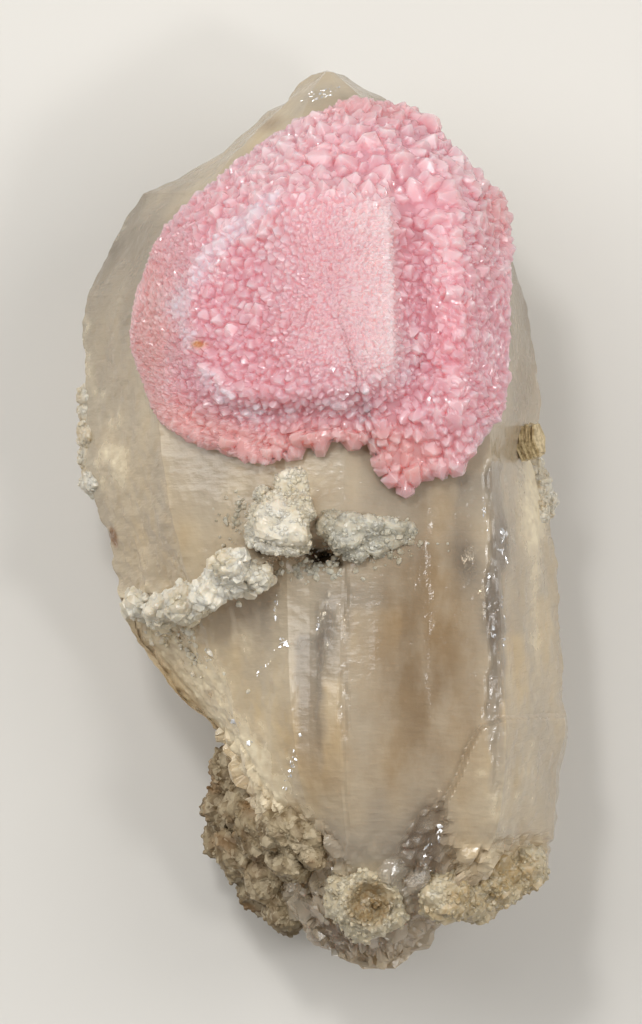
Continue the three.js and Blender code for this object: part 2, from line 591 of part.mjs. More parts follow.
function meshOf(name, body, finish) {
  const made = body.getMesh();
  const geometry = new THREE.BufferGeometry();
  geometry.setAttribute("position", new THREE.BufferAttribute(made.vertProperties, 3));
  geometry.setIndex(new THREE.BufferAttribute(made.triVerts, 1));
  const material = new THREE.MeshStandardMaterial({ ...FINISHES[finish], metalness: 0 });
  const mesh = new THREE.Mesh(geometry, material);
  mesh.name = name;
  return mesh;
}

// One mesh for each separate cluster: the largest has the plain name, the next ones a number after it
function meshesOf(name, bodies, finish) {
  return bodies.map((body, i) => meshOf(i ? `${name}_${i + 1}` : name, body, finish));
}

const crystal = smokyQuartz();
const albite = (rows, ...sides) => grownOn(crystal, stones(rows, 0.2, 1), ...sides);
const stained = (rows, ...sides) => grownOn(crystal, stones(rows, 0.3, 1), ...sides);
const cleftFeldspar = grownOn(crystal, blocks(CLEFT_FELDSPAR, 3, 2), FRONT, FOOT);

const specimen = new THREE.Group();
specimen.add(
  meshOf("smoky_quartz", crystal, "smoky_quartz"),
  ...meshesOf("rose_quartz_crust", roseQuartzCrust(crystal), "rose_quartz_crust"),
  ...meshesOf("albite_block", albiteBlock(crystal), "white_feldspar"),
  ...meshesOf("albite_chain", albite(ALBITE_CHAIN, FRONT, LEFT, FOOT), "white_feldspar"),
  ...meshesOf("cleft_feldspar", cleftFeldspar, "white_feldspar"),
  ...meshesOf("left_edge_albite", albite(LEFT_EDGE_ALBITE, FRONT, LEFT), "white_feldspar"),
  ...meshesOf("right_edge_albite", albite(RIGHT_EDGE_ALBITE, FRONT, RIGHT), "white_feldspar"),
  ...meshesOf("mica_book", micaBook(crystal), "mica"),
  ...meshesOf("base_nodule", baseNodule(crystal), "white_feldspar"),
  ...meshesOf("base_feldspar", stained(BASE_FELDSPAR, FRONT, FOOT), "white_feldspar"),
  ...meshesOf("matrix_lump", stained(MATRIX_LUMP, FRONT, LEFT, FOOT), "stained_rock"),
  ...meshesOf("foot_crust", stained(FOOT_CRUST, FRONT, LEFT), "stained_rock"),
);

// The origin is under the middle of the specimen, on the surface that it lies on.
const bounds = new THREE.Box3().setFromObject(specimen);
const middle = bounds.getCenter(new THREE.Vector3());
specimen.position.set(-middle.x, -middle.y, -bounds.min.z);

export default specimen;
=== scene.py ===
# %% [markdown]
# # A rose quartz specimen, lying on its back
#
# The real thing is one cloudy, pale smoky quartz crystal, about 100 mm long. Thousands of small rose
# quartz crystals grew over its tip as a thick pink crust, and white feldspar, mica and stained rock
# grew in its clefts, on its edges and round its foot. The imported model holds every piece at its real
# size and place. This script gives each piece its fine surface and its finish, around that frame.

import bpy
import numpy as np
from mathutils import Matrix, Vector


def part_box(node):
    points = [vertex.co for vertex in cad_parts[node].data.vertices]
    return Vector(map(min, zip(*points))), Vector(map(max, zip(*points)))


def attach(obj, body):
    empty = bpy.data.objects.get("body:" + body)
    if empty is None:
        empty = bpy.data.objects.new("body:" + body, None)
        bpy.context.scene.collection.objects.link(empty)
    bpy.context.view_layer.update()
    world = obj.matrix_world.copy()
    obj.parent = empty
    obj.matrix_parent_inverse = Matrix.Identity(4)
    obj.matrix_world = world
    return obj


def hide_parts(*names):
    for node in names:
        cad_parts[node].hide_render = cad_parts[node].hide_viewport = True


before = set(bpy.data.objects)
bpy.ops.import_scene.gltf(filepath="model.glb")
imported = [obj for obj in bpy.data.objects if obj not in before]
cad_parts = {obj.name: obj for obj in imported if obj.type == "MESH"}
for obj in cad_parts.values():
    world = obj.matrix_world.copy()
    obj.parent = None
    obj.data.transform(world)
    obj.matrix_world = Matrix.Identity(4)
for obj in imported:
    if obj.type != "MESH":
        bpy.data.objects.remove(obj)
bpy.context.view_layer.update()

MM = 0.001
print("nodes in the frame:", sorted(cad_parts))

# %% [markdown]
# ## Three helpers for shapes
#
# Natural surfaces are never even, so the first helper is a smooth random value that any point in space
# can be given. The second puts whole arrays of points and faces into a mesh. The third gives the faces
# of a closed skin through rings of points. With these a piece is only a formula for its points.


# %% Uneven values
# Large odd numbers that scramble the whole numbers of a lattice corner and its seed
SCRAMBLE_X, SCRAMBLE_Y, SCRAMBLE_Z = 73856093, 19349663, 83492791
SCRAMBLE_SEED = 2654435761
SCRAMBLE_AGAIN = 1274126177
LOW_32_BITS = 0xFFFFFFFF
LOW_16_BITS = 0xFFFF
LATTICE_START = 511.3  # cells that the lattice is moved by, and by how many more for each octave
OCTAVE_SHIFT = 7.7


def lattice_value(corner, seed):
    """A repeatable random value from -1 to 1 for each lattice corner (..., 3): its whole numbers, each
    times a large odd number, are combined by exclusive or and scrambled; the low 16 bits are the value."""
    x, y, z = np.moveaxis(corner, -1, 0)
    mixed = (x * SCRAMBLE_X ^ y * SCRAMBLE_Y ^ z * SCRAMBLE_Z ^ seed * SCRAMBLE_SEED) & LOW_32_BITS
    mixed = ((mixed ^ (mixed >> 13)) * SCRAMBLE_AGAIN) & LOW_32_BITS
    return ((mixed ^ (mixed >> 16)) & LOW_16_BITS) * 2 / LOW_16_BITS - 1


def uneven(points, size, octaves=1, seed=0):
    """Smooth random values from -1 to 1 at points (..., 3) in mm.

    Random values sit on a cubic lattice of the given size in mm. Inside a cell they are blended by
    s*s*(3 - 2*s) of the place in the cell. Each further octave halves the size and the height."""
    total = np.zeros(points.shape[:-1])
    height = 1.0
    for octave in range(octaves):
        scaled = points / size + LATTICE_START + OCTAVE_SHIFT * octave
        cell = np.floor(scaled).astype(np.int64)
        part = scaled - cell
        part = part * part * (3 - 2 * part)
        for corner in np.ndindex(2, 2, 2):
            weight = np.prod(np.where(corner, part, 1 - part), axis=-1)
            total += height * weight * lattice_value(cell + corner, seed + octave)
        size = size / 2
        height = height / 2
    return total


def eased(value, start, end):
    """0 up to start, 1 from end on, and s*s*(3 - 2*s) between."""
    share = np.clip((value - start) / (end - start), 0, 1)
    return share * share * (3 - 2 * share)


def mixed_by(share, first, second):
    """first where share is 0, second where it is 1, and a straight line between."""
    return first + (second - first) * share


# %% Points and faces into a mesh
def piece(name, points, faces, node):
    """A mesh object from points (n, 3) in mm and a list of face arrays, riding on the body in place of a
    node of the frame."""
    mesh = bpy.data.meshes.new(name)
    corners = np.concatenate([part.ravel() for part in faces]).astype(np.int32)
    sizes = np.concatenate([np.full(len(part), part.shape[1]) for part in faces])
    mesh.vertices.add(len(points))
    mesh.vertices.foreach_set("co", (points * MM).astype(np.float32).ravel())
    mesh.loops.add(len(corners))
    mesh.loops.foreach_set("vertex_index", corners)
    mesh.polygons.add(len(sizes))
    mesh.polygons.foreach_set("loop_start", (np.cumsum(sizes) - sizes).astype(np.int32))
    mesh.update(calc_edges=True)
    mesh.polygons.foreach_set("use_smooth", np.zeros(len(sizes), bool))
    made = bpy.data.objects.new(name, mesh)
    bpy.context.scene.collection.objects.link(made)
    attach(made, "root")
    if node:
        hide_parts(node)
    print(f"{name}: {len(points)} points, {int((sizes - 2).sum())} triangles")
    return made


def store(made, name, values):
    """Keeps a number, or a linear colour, at every point of a piece for its material to read."""
    kind = "FLOAT" if values.ndim == 1 else "FLOAT_COLOR"
    attribute = made.data.attributes.new(name, kind, "POINT")
    if kind == "FLOAT":
        attribute.data.foreach_set("value", values.astype(np.float32))
    else:
        opaque = np.concatenate([values, np.ones((len(values), 1))], axis=1)
        attribute.data.foreach_set("color", opaque.astype(np.float32).ravel())


# %% Faces of a closed skin
def skin_faces(rings, columns):
    """Faces through a point, then rings of columns points each, then a last point. Rings run clockwise
    seen from the first point, so that the faces point outwards."""
    column = np.arange(columns)
    after = (column + 1) % columns
    row = 1 + columns * np.arange(rings - 1)[:, None]
    walls = np.stack([row + column, row + after, row + columns + after, row + columns + column], axis=-1)
    start = np.stack([np.zeros(columns, int), 1 + after, 1 + column], axis=-1)
    foot = 1 + (rings - 1) * columns
    end = np.stack([foot + column, foot + after, np.full(columns, 1 + rings * columns)], axis=-1)
    return [walls.reshape(-1, 4), start, end]


def gathered(bodies):
    """Several (points, faces) bodies as one: the faces of each are numbered on from the last."""
    points = np.concatenate([body[0] for body in bodies])
    counts = np.cumsum([0] + [len(body[0]) for body in bodies])
    faces = [part + start for body, start in zip(bodies, counts) for part in body[1]]
    return points, faces


# %% [markdown]
# ## The lines of the big crystal
#
# The crystal is a distorted hexagonal prism: broad flat faces that meet along edges. Its form is fixed
# by a few lines from tip to foot, the same ones as in the frame: its outline on both sides, the edges
# where one face meets the next, and the flat back. Sections are drawn between these lines. A few
# points on each line are enough, because crystal faces are flat.

# %% Outline, edges and back
# Lengths of the whole crystal, in mm
HALF_WIDTH = 27.1
HALF_LENGTH = 50.2
DEPTH = 40.0
SIDEWAYS = sum(corner.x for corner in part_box("smoky_quartz")) / 2 / MM  # the frame's middle is the box's
# Places below are percentages: x of the half width, y of the half length, z of the depth.
# The outlines: [y, x] from the tip to the foot
RIGHT_OUTLINE = np.array([
    [100, 1], [99, 9], [96, 17], [94, 25], [85, 42], [77, 56], [68, 68], [58, 78], [47, 84], [33, 88],
    [26, 90], [21, 89], [15, 85], [9, 88], [1, 93], [-9, 96], [-31, 99], [-46, 100], [-55, 97],
    [-71, 96], [-76, 93], [-80, 86], [-84, 70], [-88, 52], [-93, 44], [-98, 36], [-100, 27],
])
LEFT_OUTLINE = np.array([
    [100, 1], [99, -6], [97, -11], [93, -15], [91, -24], [87, -31], [82, -42], [76, -60], [73, -74],
    [68, -81], [58, -90], [50, -98], [44, -100], [27, -98], [12, -98], [2, -93], [-8, -86], [-18, -84],
    [-27, -78], [-33, -70], [-45, -49], [-51, -41], [-60, -33], [-74, -23], [-87, -14], [-94, -2],
    [-99, 11], [-100, 21],
])
# The edges between the front's faces: [y, x, z]
RIGHT_RIDGE = np.array([
    [100, 3, 60], [92, 19, 75], [76, 44, 86], [54, 63, 92], [26, 67, 95], [4, 69, 96], [-40, 74, 96],
    [-56, 74, 93], [-74, 70, 84], [-86, 50, 70], [-96, 35, 55], [-100, 26, 50],
])
MIDDLE_RIDGE = np.array([
    [100, 2, 61], [92, 9, 77], [72, 11, 92], [26, 9, 100], [4, 8, 101], [-40, 6, 99], [-62, 7, 94],
    [-78, 11, 82], [-92, 20, 65], [-100, 25, 51],
])
LEFT_RIDGE = np.array([
    [100, 1.5, 61], [92, -10, 74], [72, -14, 91], [26, -16, 97], [4, -16, 99], [-40, -14, 95],
    [-58, -10, 90], [-76, -1, 77], [-92, 11, 61], [-100, 24, 50],
])
FLANK_RIDGE = np.array([
    [100, 1.2, 59], [90, -22, 63], [72, -52, 72], [49, -68, 78], [22, -68, 84], [4, -64, 86],
    [-16, -55, 83], [-40, -39, 77], [-62, -26, 71], [-80, -12, 63], [-93, 1, 54], [-100, 22, 48],
])
# How high the outline and the back's edges lie: [y, z]
SIDE_HEIGHT = np.array([[100, 56], [88, 50], [60, 46], [-60, 46], [-88, 46], [-100, 48]])
BACK_HEIGHT = np.array([
    [100, 52], [92, 30], [80, 8], [70, -3], [-70, -3], [-82, 10], [-94, 30], [-100, 46],
])
RIDGE_BEND = 8  # percent of the half length over which an edge between faces bends
BEND_STEPS = 7
BACK_LEFT_SHARE = 0.74  # how far out the back's two edges lie, from the middle to the outline
BACK_RIGHT_SHARE = 0.7
FRONT_FACES = 5  # from the right outline round the front to the left one


def rail(line, y, column=1):
    """The value of a broken line, whose rows start with y and run downwards, at each y."""
    return np.interp(y, line[::-1, 0], line[::-1, column])


def across_mm(percent):
    """x in mm from percent of the half width."""
    return np.asarray(percent) * HALF_WIDTH / 100


def along_mm(percent):
    """y in mm from percent of the half length."""
    return np.asarray(percent) * HALF_LENGTH / 100


def bent(line, y, column=1):
    """The mean of a line over BEND_STEPS places up to RIDGE_BEND either side of y, so that it bends over
    some millimetres instead of kinking. Towards both ends the places draw together."""
    reach = np.minimum(RIDGE_BEND, 100 - np.abs(y))
    shares = np.linspace(-1, 1, BEND_STEPS)
    return sum(rail(line, y + reach * share, column) for share in shares) / BEND_STEPS


def section(y):
    """The eight corners (..., 8, 2) of the section at y percent, as x and z in mm: the right edge, four
    ridges, the left edge and the two edges of the back."""
    right = rail(RIGHT_OUTLINE, y)
    left = rail(LEFT_OUTLINE, y)
    side = rail(SIDE_HEIGHT, y)
    back = rail(BACK_HEIGHT, y)
    lines = (RIGHT_RIDGE, MIDDLE_RIDGE, LEFT_RIDGE, FLANK_RIDGE)
    ridges = [(bent(line, y), bent(line, y, 2)) for line in lines]
    middle = (right + left) / 2
    corners = [(right, side), *ridges, (left, side)]
    corners.append((mixed_by(BACK_LEFT_SHARE, middle, left), back))
    corners.append((mixed_by(BACK_RIGHT_SHARE, middle, right), back))
    scale = np.array([HALF_WIDTH, DEPTH]) / 100
    return np.moveaxis(np.array(corners), (0, 1), (-2, -1)) * scale


# %% [markdown]
# ## Steps and hollows of its front
#
# The crystal grew in stages. Its upper part overhangs the lower one along a slanting seam, a clear
# plate grew on at the lower right, low strips run up its lower faces, and pits and knobs sit in the
# seam and on the foot. Each is a small formula for how far the front lies below or above its plain
# faces.

# %% The seam, the plate and the knobs
# The seam from left to right: x and y in percent, and its step in mm
SEAM = np.array([
    [-88, -18, 3], [-72, -16, 3.2], [-60, -17, 3.6], [-48, -15.5, 4], [-38, -10.5, 4], [-26, -10, 4],
    [-16, -6.5, 3.6], [-6, -9, 3], [2, -6, 2.2], [11, -7, 1.4], [24, -3, 0.5], [36, 0, 0],
])
SEAM_EDGE = 0.6  # mm over which the front drops by the step
SEAM_HOLD = 4.0  # mm below the seam from where the step fades
SEAM_FADE = 26.0  # mm below the seam where the lower faces are level with the upper again
# The plate's outline, clockwise from its upper left: [x, y] in percent. It runs on past the right edge
PLATE = np.array([
    [63, -45], [74, -43], [130, -43], [130, -90], [70, -86], [56, -84], [54, -78], [47, -70],
    [48, -62], [54, -56], [58, -50],
])
PLATE_RISE = 1.9  # mm
PLATE_EDGE = 0.7
# Pits in the seam: x and y in percent, half width and depth in mm
PITS = [[-4, -6.5, 1.9, 3.2], [3, -7.2, 1.6, 2.4], [-24, -5.8, 1.6, 2.6]]
PIT_FLATNESS = 0.7  # a pit's height as a share of its width
# Knobs on the foot: x and y in percent, height of the middle over the front, half sizes, in mm
FOOT_KNOBS = [
    [-2, -88, -1, 2.6, 2.8, 3.4], [5, -90, -1.2, 2.8, 2.6, 3.6], [13, -92, -1.5, 2.6, 2.4, 3.8],
    [23, -93, -1.4, 2.6, 2.4, 3.8], [31, -90, -0.8, 2.4, 3.0, 3.2], [36, -85, -0.4, 2.6, 3.2, 2.6],
    [28, -80, -0.3, 2.0, 2.6, 1.8],
]
NO_WIDTH = 1e-6  # mm, keeps a face that has closed at an end from dividing by 0


def seam_line(x):
    """How far along y the seam lies at x, and its step, all in mm."""
    percent = x * 100 / HALF_WIDTH
    y, step = (np.interp(percent, SEAM[:, 0], SEAM[:, column]) for column in (1, 2))
    return along_mm(y), step


def step_down(x, y):
    """How far the front lies below its plain faces: the seam's step just below it, fading out."""
    line, step = seam_line(x)
    below = line - y
    return step * eased(below, 0, SEAM_EDGE) * (1 - eased(below, SEAM_HOLD, SEAM_FADE))


def inside(x, y, corners):
    """How far in mm each x, y lies inside a closed outline in percent, and below 0 outside it: the least
    distance to any of its sides, with its sign from how many sides a line to the right crosses."""
    points = np.stack([across_mm(corners[:, 0]), along_mm(corners[:, 1])], axis=-1)
    nearest = np.full(np.shape(x), np.inf)
    crossings = np.zeros(np.shape(x), int)
    for start, end in zip(points, np.roll(points, -1, axis=0)):
        side = end - start
        share = np.clip(((x - start[0]) * side[0] + (y - start[1]) * side[1]) / (side @ side), 0, 1)
        gap = np.hypot(x - start[0] - share * side[0], y - start[1] - share * side[1])
        nearest = np.minimum(nearest, gap)
        crosses = (start[1] > y) != (end[1] > y)
        with np.errstate(divide="ignore", invalid="ignore"):
            at = start[0] + (y - start[1]) / side[1] * side[0]
        crossings += crosses & (x < at)
    return np.where(crossings % 2 == 1, nearest, -nearest)


def front_height(x, y):
    """Height of the crystal's front in mm at x, y: straight across each face from edge to edge, less the
    seam's step."""
    corners = section(y * 100 / HALF_LENGTH)
    height = corners[..., 0, 1].copy()
    for right in range(FRONT_FACES):
        left = right + 1
        width = np.maximum(corners[..., right, 0] - corners[..., left, 0], NO_WIDTH)
        share = (x - corners[..., left, 0]) / width
        here = mixed_by(share, corners[..., left, 1], corners[..., right, 1])
        height = np.where((share >= 0) & (share <= 1), here, height)
    return height - step_down(x, y)


# %% Height of the details over the plain front
def spot(x, y, centre_x, centre_y, half_x, half_y, turn=0.0):
    """A soft round patch in mm, 1 in its middle: exp(-d*d), with d the distance in half sizes."""
    across = (x - centre_x) * np.cos(turn) + (y - centre_y) * np.sin(turn)
    up = (y - centre_y) * np.cos(turn) - (x - centre_x) * np.sin(turn)
    return np.exp(-((across / half_x) ** 2) - (up / half_y) ** 2)


def patches(x, y, rows):
    """The sum of soft patches, each times its strength."""
    return sum(strength * spot(x, y, *row) for *row, strength in rows)


# Upright growth strips below the seam: left and right edge x, top and bottom y, and height, all in mm.
# One with a height below 0 is a trough
STRIPS = [
    (-5.9, -3.4, -16.5, -27, 0.45), (-0.5, 1.9, -8.5, -28, 0.4), (2.4, 19.0, -1.0, -41, 0.3),
    (21.6, 24.5, 6, -40, 0.35), (5.2, 6.6, -9, -24, 0.06), (9.8, 11.6, 2, -26, 0.05),
    (-12.4, -9.9, -9, -18, 0.25), (18.2, 19.9, 7, -28, -0.35),
]
STRIP_EDGE = 0.35  # mm either side of an upright edge over which it rises
STRIP_TOP = 1.5  # mm over which its upper end rises
STRIP_FOOT = 8  # and its lower one
WAVES = [(0.25, 0.5), (0.12, 1.7)]  # the edges sway: mm, and radians for each mm of y


def strip(x, y, left, right, top, bottom, height):
    """A growth strip: full height between its upright edges, which sway by the sum of two sine waves,
    easing in over its upper and lower ends."""
    (wide, slow), (narrow, quick) = WAVES
    swayed = x + wide * np.sin(slow * y + left) + narrow * np.sin(quick * y)
    past_left = eased(swayed, left - STRIP_EDGE, left + STRIP_EDGE)
    past_right = eased(swayed, right - STRIP_EDGE, right + STRIP_EDGE)
    along = eased(y, bottom, bottom + STRIP_FOOT) * (1 - eased(y, top - STRIP_TOP, top))
    return height * past_left * (1 - past_right) * along


def front_details(x, y):
    """Rise of the front over its plain faces: the plate, knobs and growth steps, less the pits."""
    rise = PLATE_RISE * eased(inside(x, y, PLATE), 0, PLATE_EDGE)
    for pit_x, pit_y, wide, deep in PITS:
        rise = rise - deep * spot(x, y, across_mm(pit_x), along_mm(pit_y), wide, PIT_FLATNESS * wide)
    for knob_x, knob_y, over, half_x, half_y, half_z in FOOT_KNOBS:
        away = ((x - across_mm(knob_x)) / half_x) ** 2 + ((y - along_mm(knob_y)) / half_y) ** 2
        dome = over + half_z * np.sqrt(np.clip(1 - away, 0, 1))
        rise = np.where(away < 1, np.maximum(rise, dome), rise)
    for row in STRIPS:
        rise = rise + strip(x, y, *row)
    return rise


# %% [markdown]
# ## How small quartz crystals cover a skin
#
# A druse is a crowd of little quartz crystals that grew into each other, so that only their tips show.
# Each tip is a six-sided prism under six faces that slope at 51.8 degrees to its base, the angle of
# every quartz crystal. Separate little meshes would leave a maze of walls inside the see-through stone.
# Instead each point of a plain skin looks straight out and moves to where it leaves the outermost
# crystal above it. The skin stays one closed surface, and its facets are true planes. The same
# functions grow the pink crust and the healed breaks at the big crystal's foot.

# %% Where the small crystals stand
QUARTZ_SLOPE = np.radians(51.8)
# Sizes spread as exp(normal), so the largest is exp(0.5) = 1.65 times as wide as the usual one
SIZE_SPREAD = 0.3
SMALLEST = -0.7
LARGEST = 0.5
CLOSEST = 0.3  # how near two may stand, as a share of their two sizes
BATCH = 50  # kept crystals are gathered into an array every so often
NO_LENGTH = 1e-9  # keeps a point where the skin has no slope from dividing by 0
rng = np.random.default_rng(20)


def outward(skin):
    """The direction square to the skin at each point: the cross product of its two slopes."""
    down = np.gradient(skin, axis=0)
    around = (np.roll(skin, -1, axis=1) - np.roll(skin, 1, axis=1)) / 2
    square = np.cross(around, down)
    return square / np.maximum(np.linalg.norm(square, axis=-1, keepdims=True), NO_LENGTH)


def crystal_places(skin, usual, free, tries):
    """Rows, columns and sizes of the small crystals on a skin. Random places are taken, more where the
    skin is free and the usual size is small, each with a random size near the usual one. The largest
    come first, and one is kept if no kept one is nearer than CLOSEST times their two sizes."""
    along = np.linalg.norm(np.gradient(skin, axis=0), axis=-1)
    around = np.linalg.norm(np.roll(skin, -1, axis=1) - skin, axis=-1)
    chance = (along * around * free / usual**2).ravel()
    picks = rng.choice(chance.size, tries, p=chance / chance.sum())
    share = np.clip(rng.normal(0, SIZE_SPREAD, tries), SMALLEST, LARGEST)
    size = usual.ravel()[picks] * np.exp(share)
    order = np.argsort(-size, kind="stable")
    picks, size = picks[order], size[order]
    places = skin.reshape(-1, 3)[picks]
    kept = []
    centres = np.zeros((0, 3))
    widths = np.zeros(0)
    for i in range(tries):
        if len(kept) % BATCH == 0 and len(kept) > len(centres):
            centres = places[kept]
            widths = size[kept]
        recent = kept[len(centres) :]
        near = np.concatenate([centres, places[recent]])
        reach = CLOSEST * (np.concatenate([widths, size[recent]]) + size[i])
        if not len(near) or (((near - places[i]) ** 2).sum(axis=1) > reach**2).all():
            kept.append(i)
    rows, columns = np.divmod(picks[kept], skin.shape[1])
    return rows, columns, size[kept]


# %% Grow them out of the skin
PRISM_HALF = (0.5, 0.72)  # each upright face's distance from the axis, as a share of the width
TIP_DROP = 0.22  # each sloping face passes up to this share of the width below the tip
TALLEST = 3  # mm that the skin moves out at most
GRAZING = 1e-6  # a face whose slope to the line out is less than this is not met


def leaning(square, lean):
    """An axis near the given direction, tipped by up to lean (a tangent) in a random direction."""
    tip = square + lean * rng.uniform(-1, 1, 3)
    return tip / np.linalg.norm(tip)


def crystal_planes(foot, axis, width, tall):
    """Normals (12, 3) and points (12, 3) of one crystal's faces: six upright ones at about half its
    width from the axis, and six that slope up from them to the tip."""
    side = np.cross(axis, rng.normal(size=3))
    side = side / np.linalg.norm(side)
    third = np.cross(axis, side)
    angle = rng.uniform(0, np.pi) + np.arange(6) * np.pi / 3
    upright = np.cos(angle)[:, None] * side + np.sin(angle)[:, None] * third
    sloping = np.cos(QUARTZ_SLOPE) * axis + np.sin(QUARTZ_SLOPE) * upright
    half = width * rng.uniform(*PRISM_HALF, 6)[:, None]
    lower = width * rng.uniform(0, TIP_DROP, 6)[:, None]
    tip = foot + axis * tall
    return np.concatenate([upright, sloping]), np.concatenate([foot + upright * half, tip - sloping * lower])


def grown(skin, seeds, lowest):
    """How far each point of the skin moves out, and the number of the face that it ends on. Seeds are
    rows, columns, widths, leans and heights. On a line out from point p along n, a face with normal m
    through q is crossed at m.(q - p) / m.n. The line leaves the crystal at the least of these over the
    faces that look its way. Between crystals the skin stays at the lowest value."""
    square = outward(skin)
    count, sectors = skin.shape[:2]
    out = np.full((count, sectors), lowest)
    face = np.zeros((count, sectors), int)
    row_step = np.linalg.norm(np.diff(skin, axis=0), axis=-1).mean(axis=0)
    around = np.linalg.norm(np.roll(skin, -1, axis=1) - skin, axis=-1).mean(axis=1)
    for number, (row, column, width, lean, tall) in enumerate(zip(*seeds)):
        normals, points = crystal_planes(skin[row, column], leaning(square[row, column], lean), width, tall)
        reach = 0.9 * width + 0.4  # mm, a little past the farthest point that it can cover
        tall_window = int(reach / row_step[column]) + 2
        nearest_row = max(row - tall_window, 0)
        step = max(around[nearest_row], 0.01)
        wide_window = min(int(reach / step) + 2, sectors // 2 - 1)
        window = np.ix_(
            np.arange(nearest_row, min(row + tall_window + 1, count)),
            np.arange(column - wide_window, column + wide_window + 1) % sectors,
        )
        start, ray = skin[window], square[window]
        facing = ray @ normals.T
        ahead = (points * normals).sum(axis=1) - start @ normals.T
        with np.errstate(divide="ignore", invalid="ignore"):
            distance = ahead / facing
        leave = np.where(facing > GRAZING, distance, np.inf)
        enter = np.where(facing < -GRAZING, distance, -np.inf).max(axis=-1)
        which = leave.argmin(axis=-1)
        leave = leave.min(axis=-1)
        better = (leave > enter) & (leave > out[window]) & (leave < TALLEST)
        out[window] = np.where(better, leave, out[window])
        face[window] = np.where(better, 12 * number + which + 1, face[window])
    return out, face


# %% [markdown]
# ## The big crystal's skin
#
# A profile carried along a path: at each of 350 stations down the length, the section's eight corners
# are joined by straight runs of points. Where the real faces are glassy the points stay on the plane,
# and where they are etched or broken uneven values push them in and out. The foot broke where it left
# the rock, and small quartz crystals healed over the breaks.

# %% Stations and columns
# Pieces across each face, from the right edge round the front to the back, and its roughness in mm
FACE_PIECES = [20, 56, 22, 56, 40, 20, 20, 22]
FACE_ROUGH = [0.22, 0.05, 0.1, 0.16, 0.5, 0.6, 0.4, 0.6]
UPPER_CALM = 0.5  # the upper half's faces are this much as rough as the lower half's
CALM_FROM = (-6, 6)  # y in mm between which they turn calm
COARSE_BUMPS = 4.5  # mm from one bump to the next
FINE_BUMPS = 0.9
FINE_SHARE = 0.35
# Splinters at the foot: their size and height in mm, and y in mm where they begin and are all there
SPLINTER_SIZE = 2.2
SPLINTER_HEIGHT = 0.8
SPLINTERED = (-33, -42)
SPLINTER_LEVEL = 0.3  # what is taken off them, so that they go both in and out
STATIONS = 350
END_STATIONS = (99.6, -99.4)  # percent
TIP = [1.2, 58]  # x and z of both ends, in percent
FOOT = [25, 49]
# The quartz crystals healed over the breaks: usual width, deepest and tallest, in mm
HEALED_WIDTH = 1.7
HEALED_LOWEST = -0.5
HEALED_TALLEST = 1.1
HEALED_TRIES = 5000
HEALED_LEANS = (0.3, 0.8)  # tangents
HEALED_HEIGHTS = (0.2, 0.5)  # shares of the width
# Where the foot is broken and healed: x, y, half sizes in mm, turn, strength
HEALED_PATCHES = [
    (-3.5, -38, 5.5, 5.5, 0, 1.0), (3, -46, 8, 5, 0, 1.1), (11, -39, 2.8, 7.5, -0.2, 1.2),
    (16, -38.5, 8, 2.0, 0.2, 0.9), (-9, -29, 2.2, 8, 0.5, 0.8), (23, -40, 4, 5, 0, 0.7),
    (-19, -11.5, 5, 2.2, -0.3, 0.7),
]


def healed(skin):
    """The skin with quartz crystals grown over the broken patches of its upper side."""
    x, y, z = np.moveaxis(skin, -1, 0)
    free = eased(patches(x, y, HEALED_PATCHES) * eased(z, 10, 20), 0.25, 0.6)
    rows, columns, widths = crystal_places(skin, np.full(x.shape, HEALED_WIDTH), free, HEALED_TRIES)
    leans = rng.uniform(*HEALED_LEANS, len(widths))
    heights = widths * rng.uniform(*HEALED_HEIGHTS, len(widths))
    out, _ = grown(skin, (rows, columns, widths, leans, heights), HEALED_LOWEST)
    print("crystals on the foot:", len(rows))
    return skin + outward(skin) * (np.minimum(out, HEALED_TALLEST) * free)[..., None]


def plain_faces(corners):
    """x and z (stations, places, 2) on the straight sides between the section's corners, and each place's
    roughness in mm, which runs into the next face's near a corner."""
    runs = []
    rough = []
    for face, count in enumerate(FACE_PIECES):
        after = (face + 1) % len(FACE_PIECES)
        share = np.arange(count) / count
        runs.append(mixed_by(share[None, :, None], corners[:, None, face], corners[:, None, after]))
        from_corner = np.clip(np.minimum(share, 1 - share) * 6, 0, 0.5)
        neighbour = np.where(share < 0.5, FACE_ROUGH[face - 1], FACE_ROUGH[after])
        rough.append(mixed_by(0.5 + from_corner, neighbour, FACE_ROUGH[face]))
    return np.concatenate(runs, axis=1), np.concatenate(rough)


def pushed_out(plain, corners, place, rough):
    """The plain x and z, pushed out from the section's middle by the faces' roughness times coarse and
    fine uneven values, less on the upper half."""
    middle = (corners[:, 0] + corners[:, FRONT_FACES]) / 2
    out = plain - middle[:, None]
    out = out / np.linalg.norm(out, axis=-1, keepdims=True)
    calm = mixed_by(eased(place[..., 1], *CALM_FROM), 1, UPPER_CALM)
    bumps = uneven(place, COARSE_BUMPS, 4, seed=3) + FINE_SHARE * uneven(place, FINE_BUMPS, 2, seed=5)
    return plain + out * (calm * rough * bumps)[..., None]


def front_lift(place):
    """How far in mm the points rise: on the front by its details less the seam's step, and by splinters
    at the foot. Elsewhere 0."""
    x, y, _ = np.moveaxis(place, -1, 0)
    splinters = np.abs(uneven(place * [1, 0.5, 1], SPLINTER_SIZE, 3, seed=9)) - SPLINTER_LEVEL
    from_y, all_y = SPLINTERED
    broken = SPLINTER_HEIGHT * splinters * eased(-y, -from_y, -all_y)
    broken = np.where(y < seam_line(x)[0], broken, 0)
    column = np.arange(place.shape[1])
    on_front = (column > 0) & (column < sum(FACE_PIECES[:FRONT_FACES]))
    return np.where(on_front, front_details(x, y) - step_down(x, y) + broken, 0)


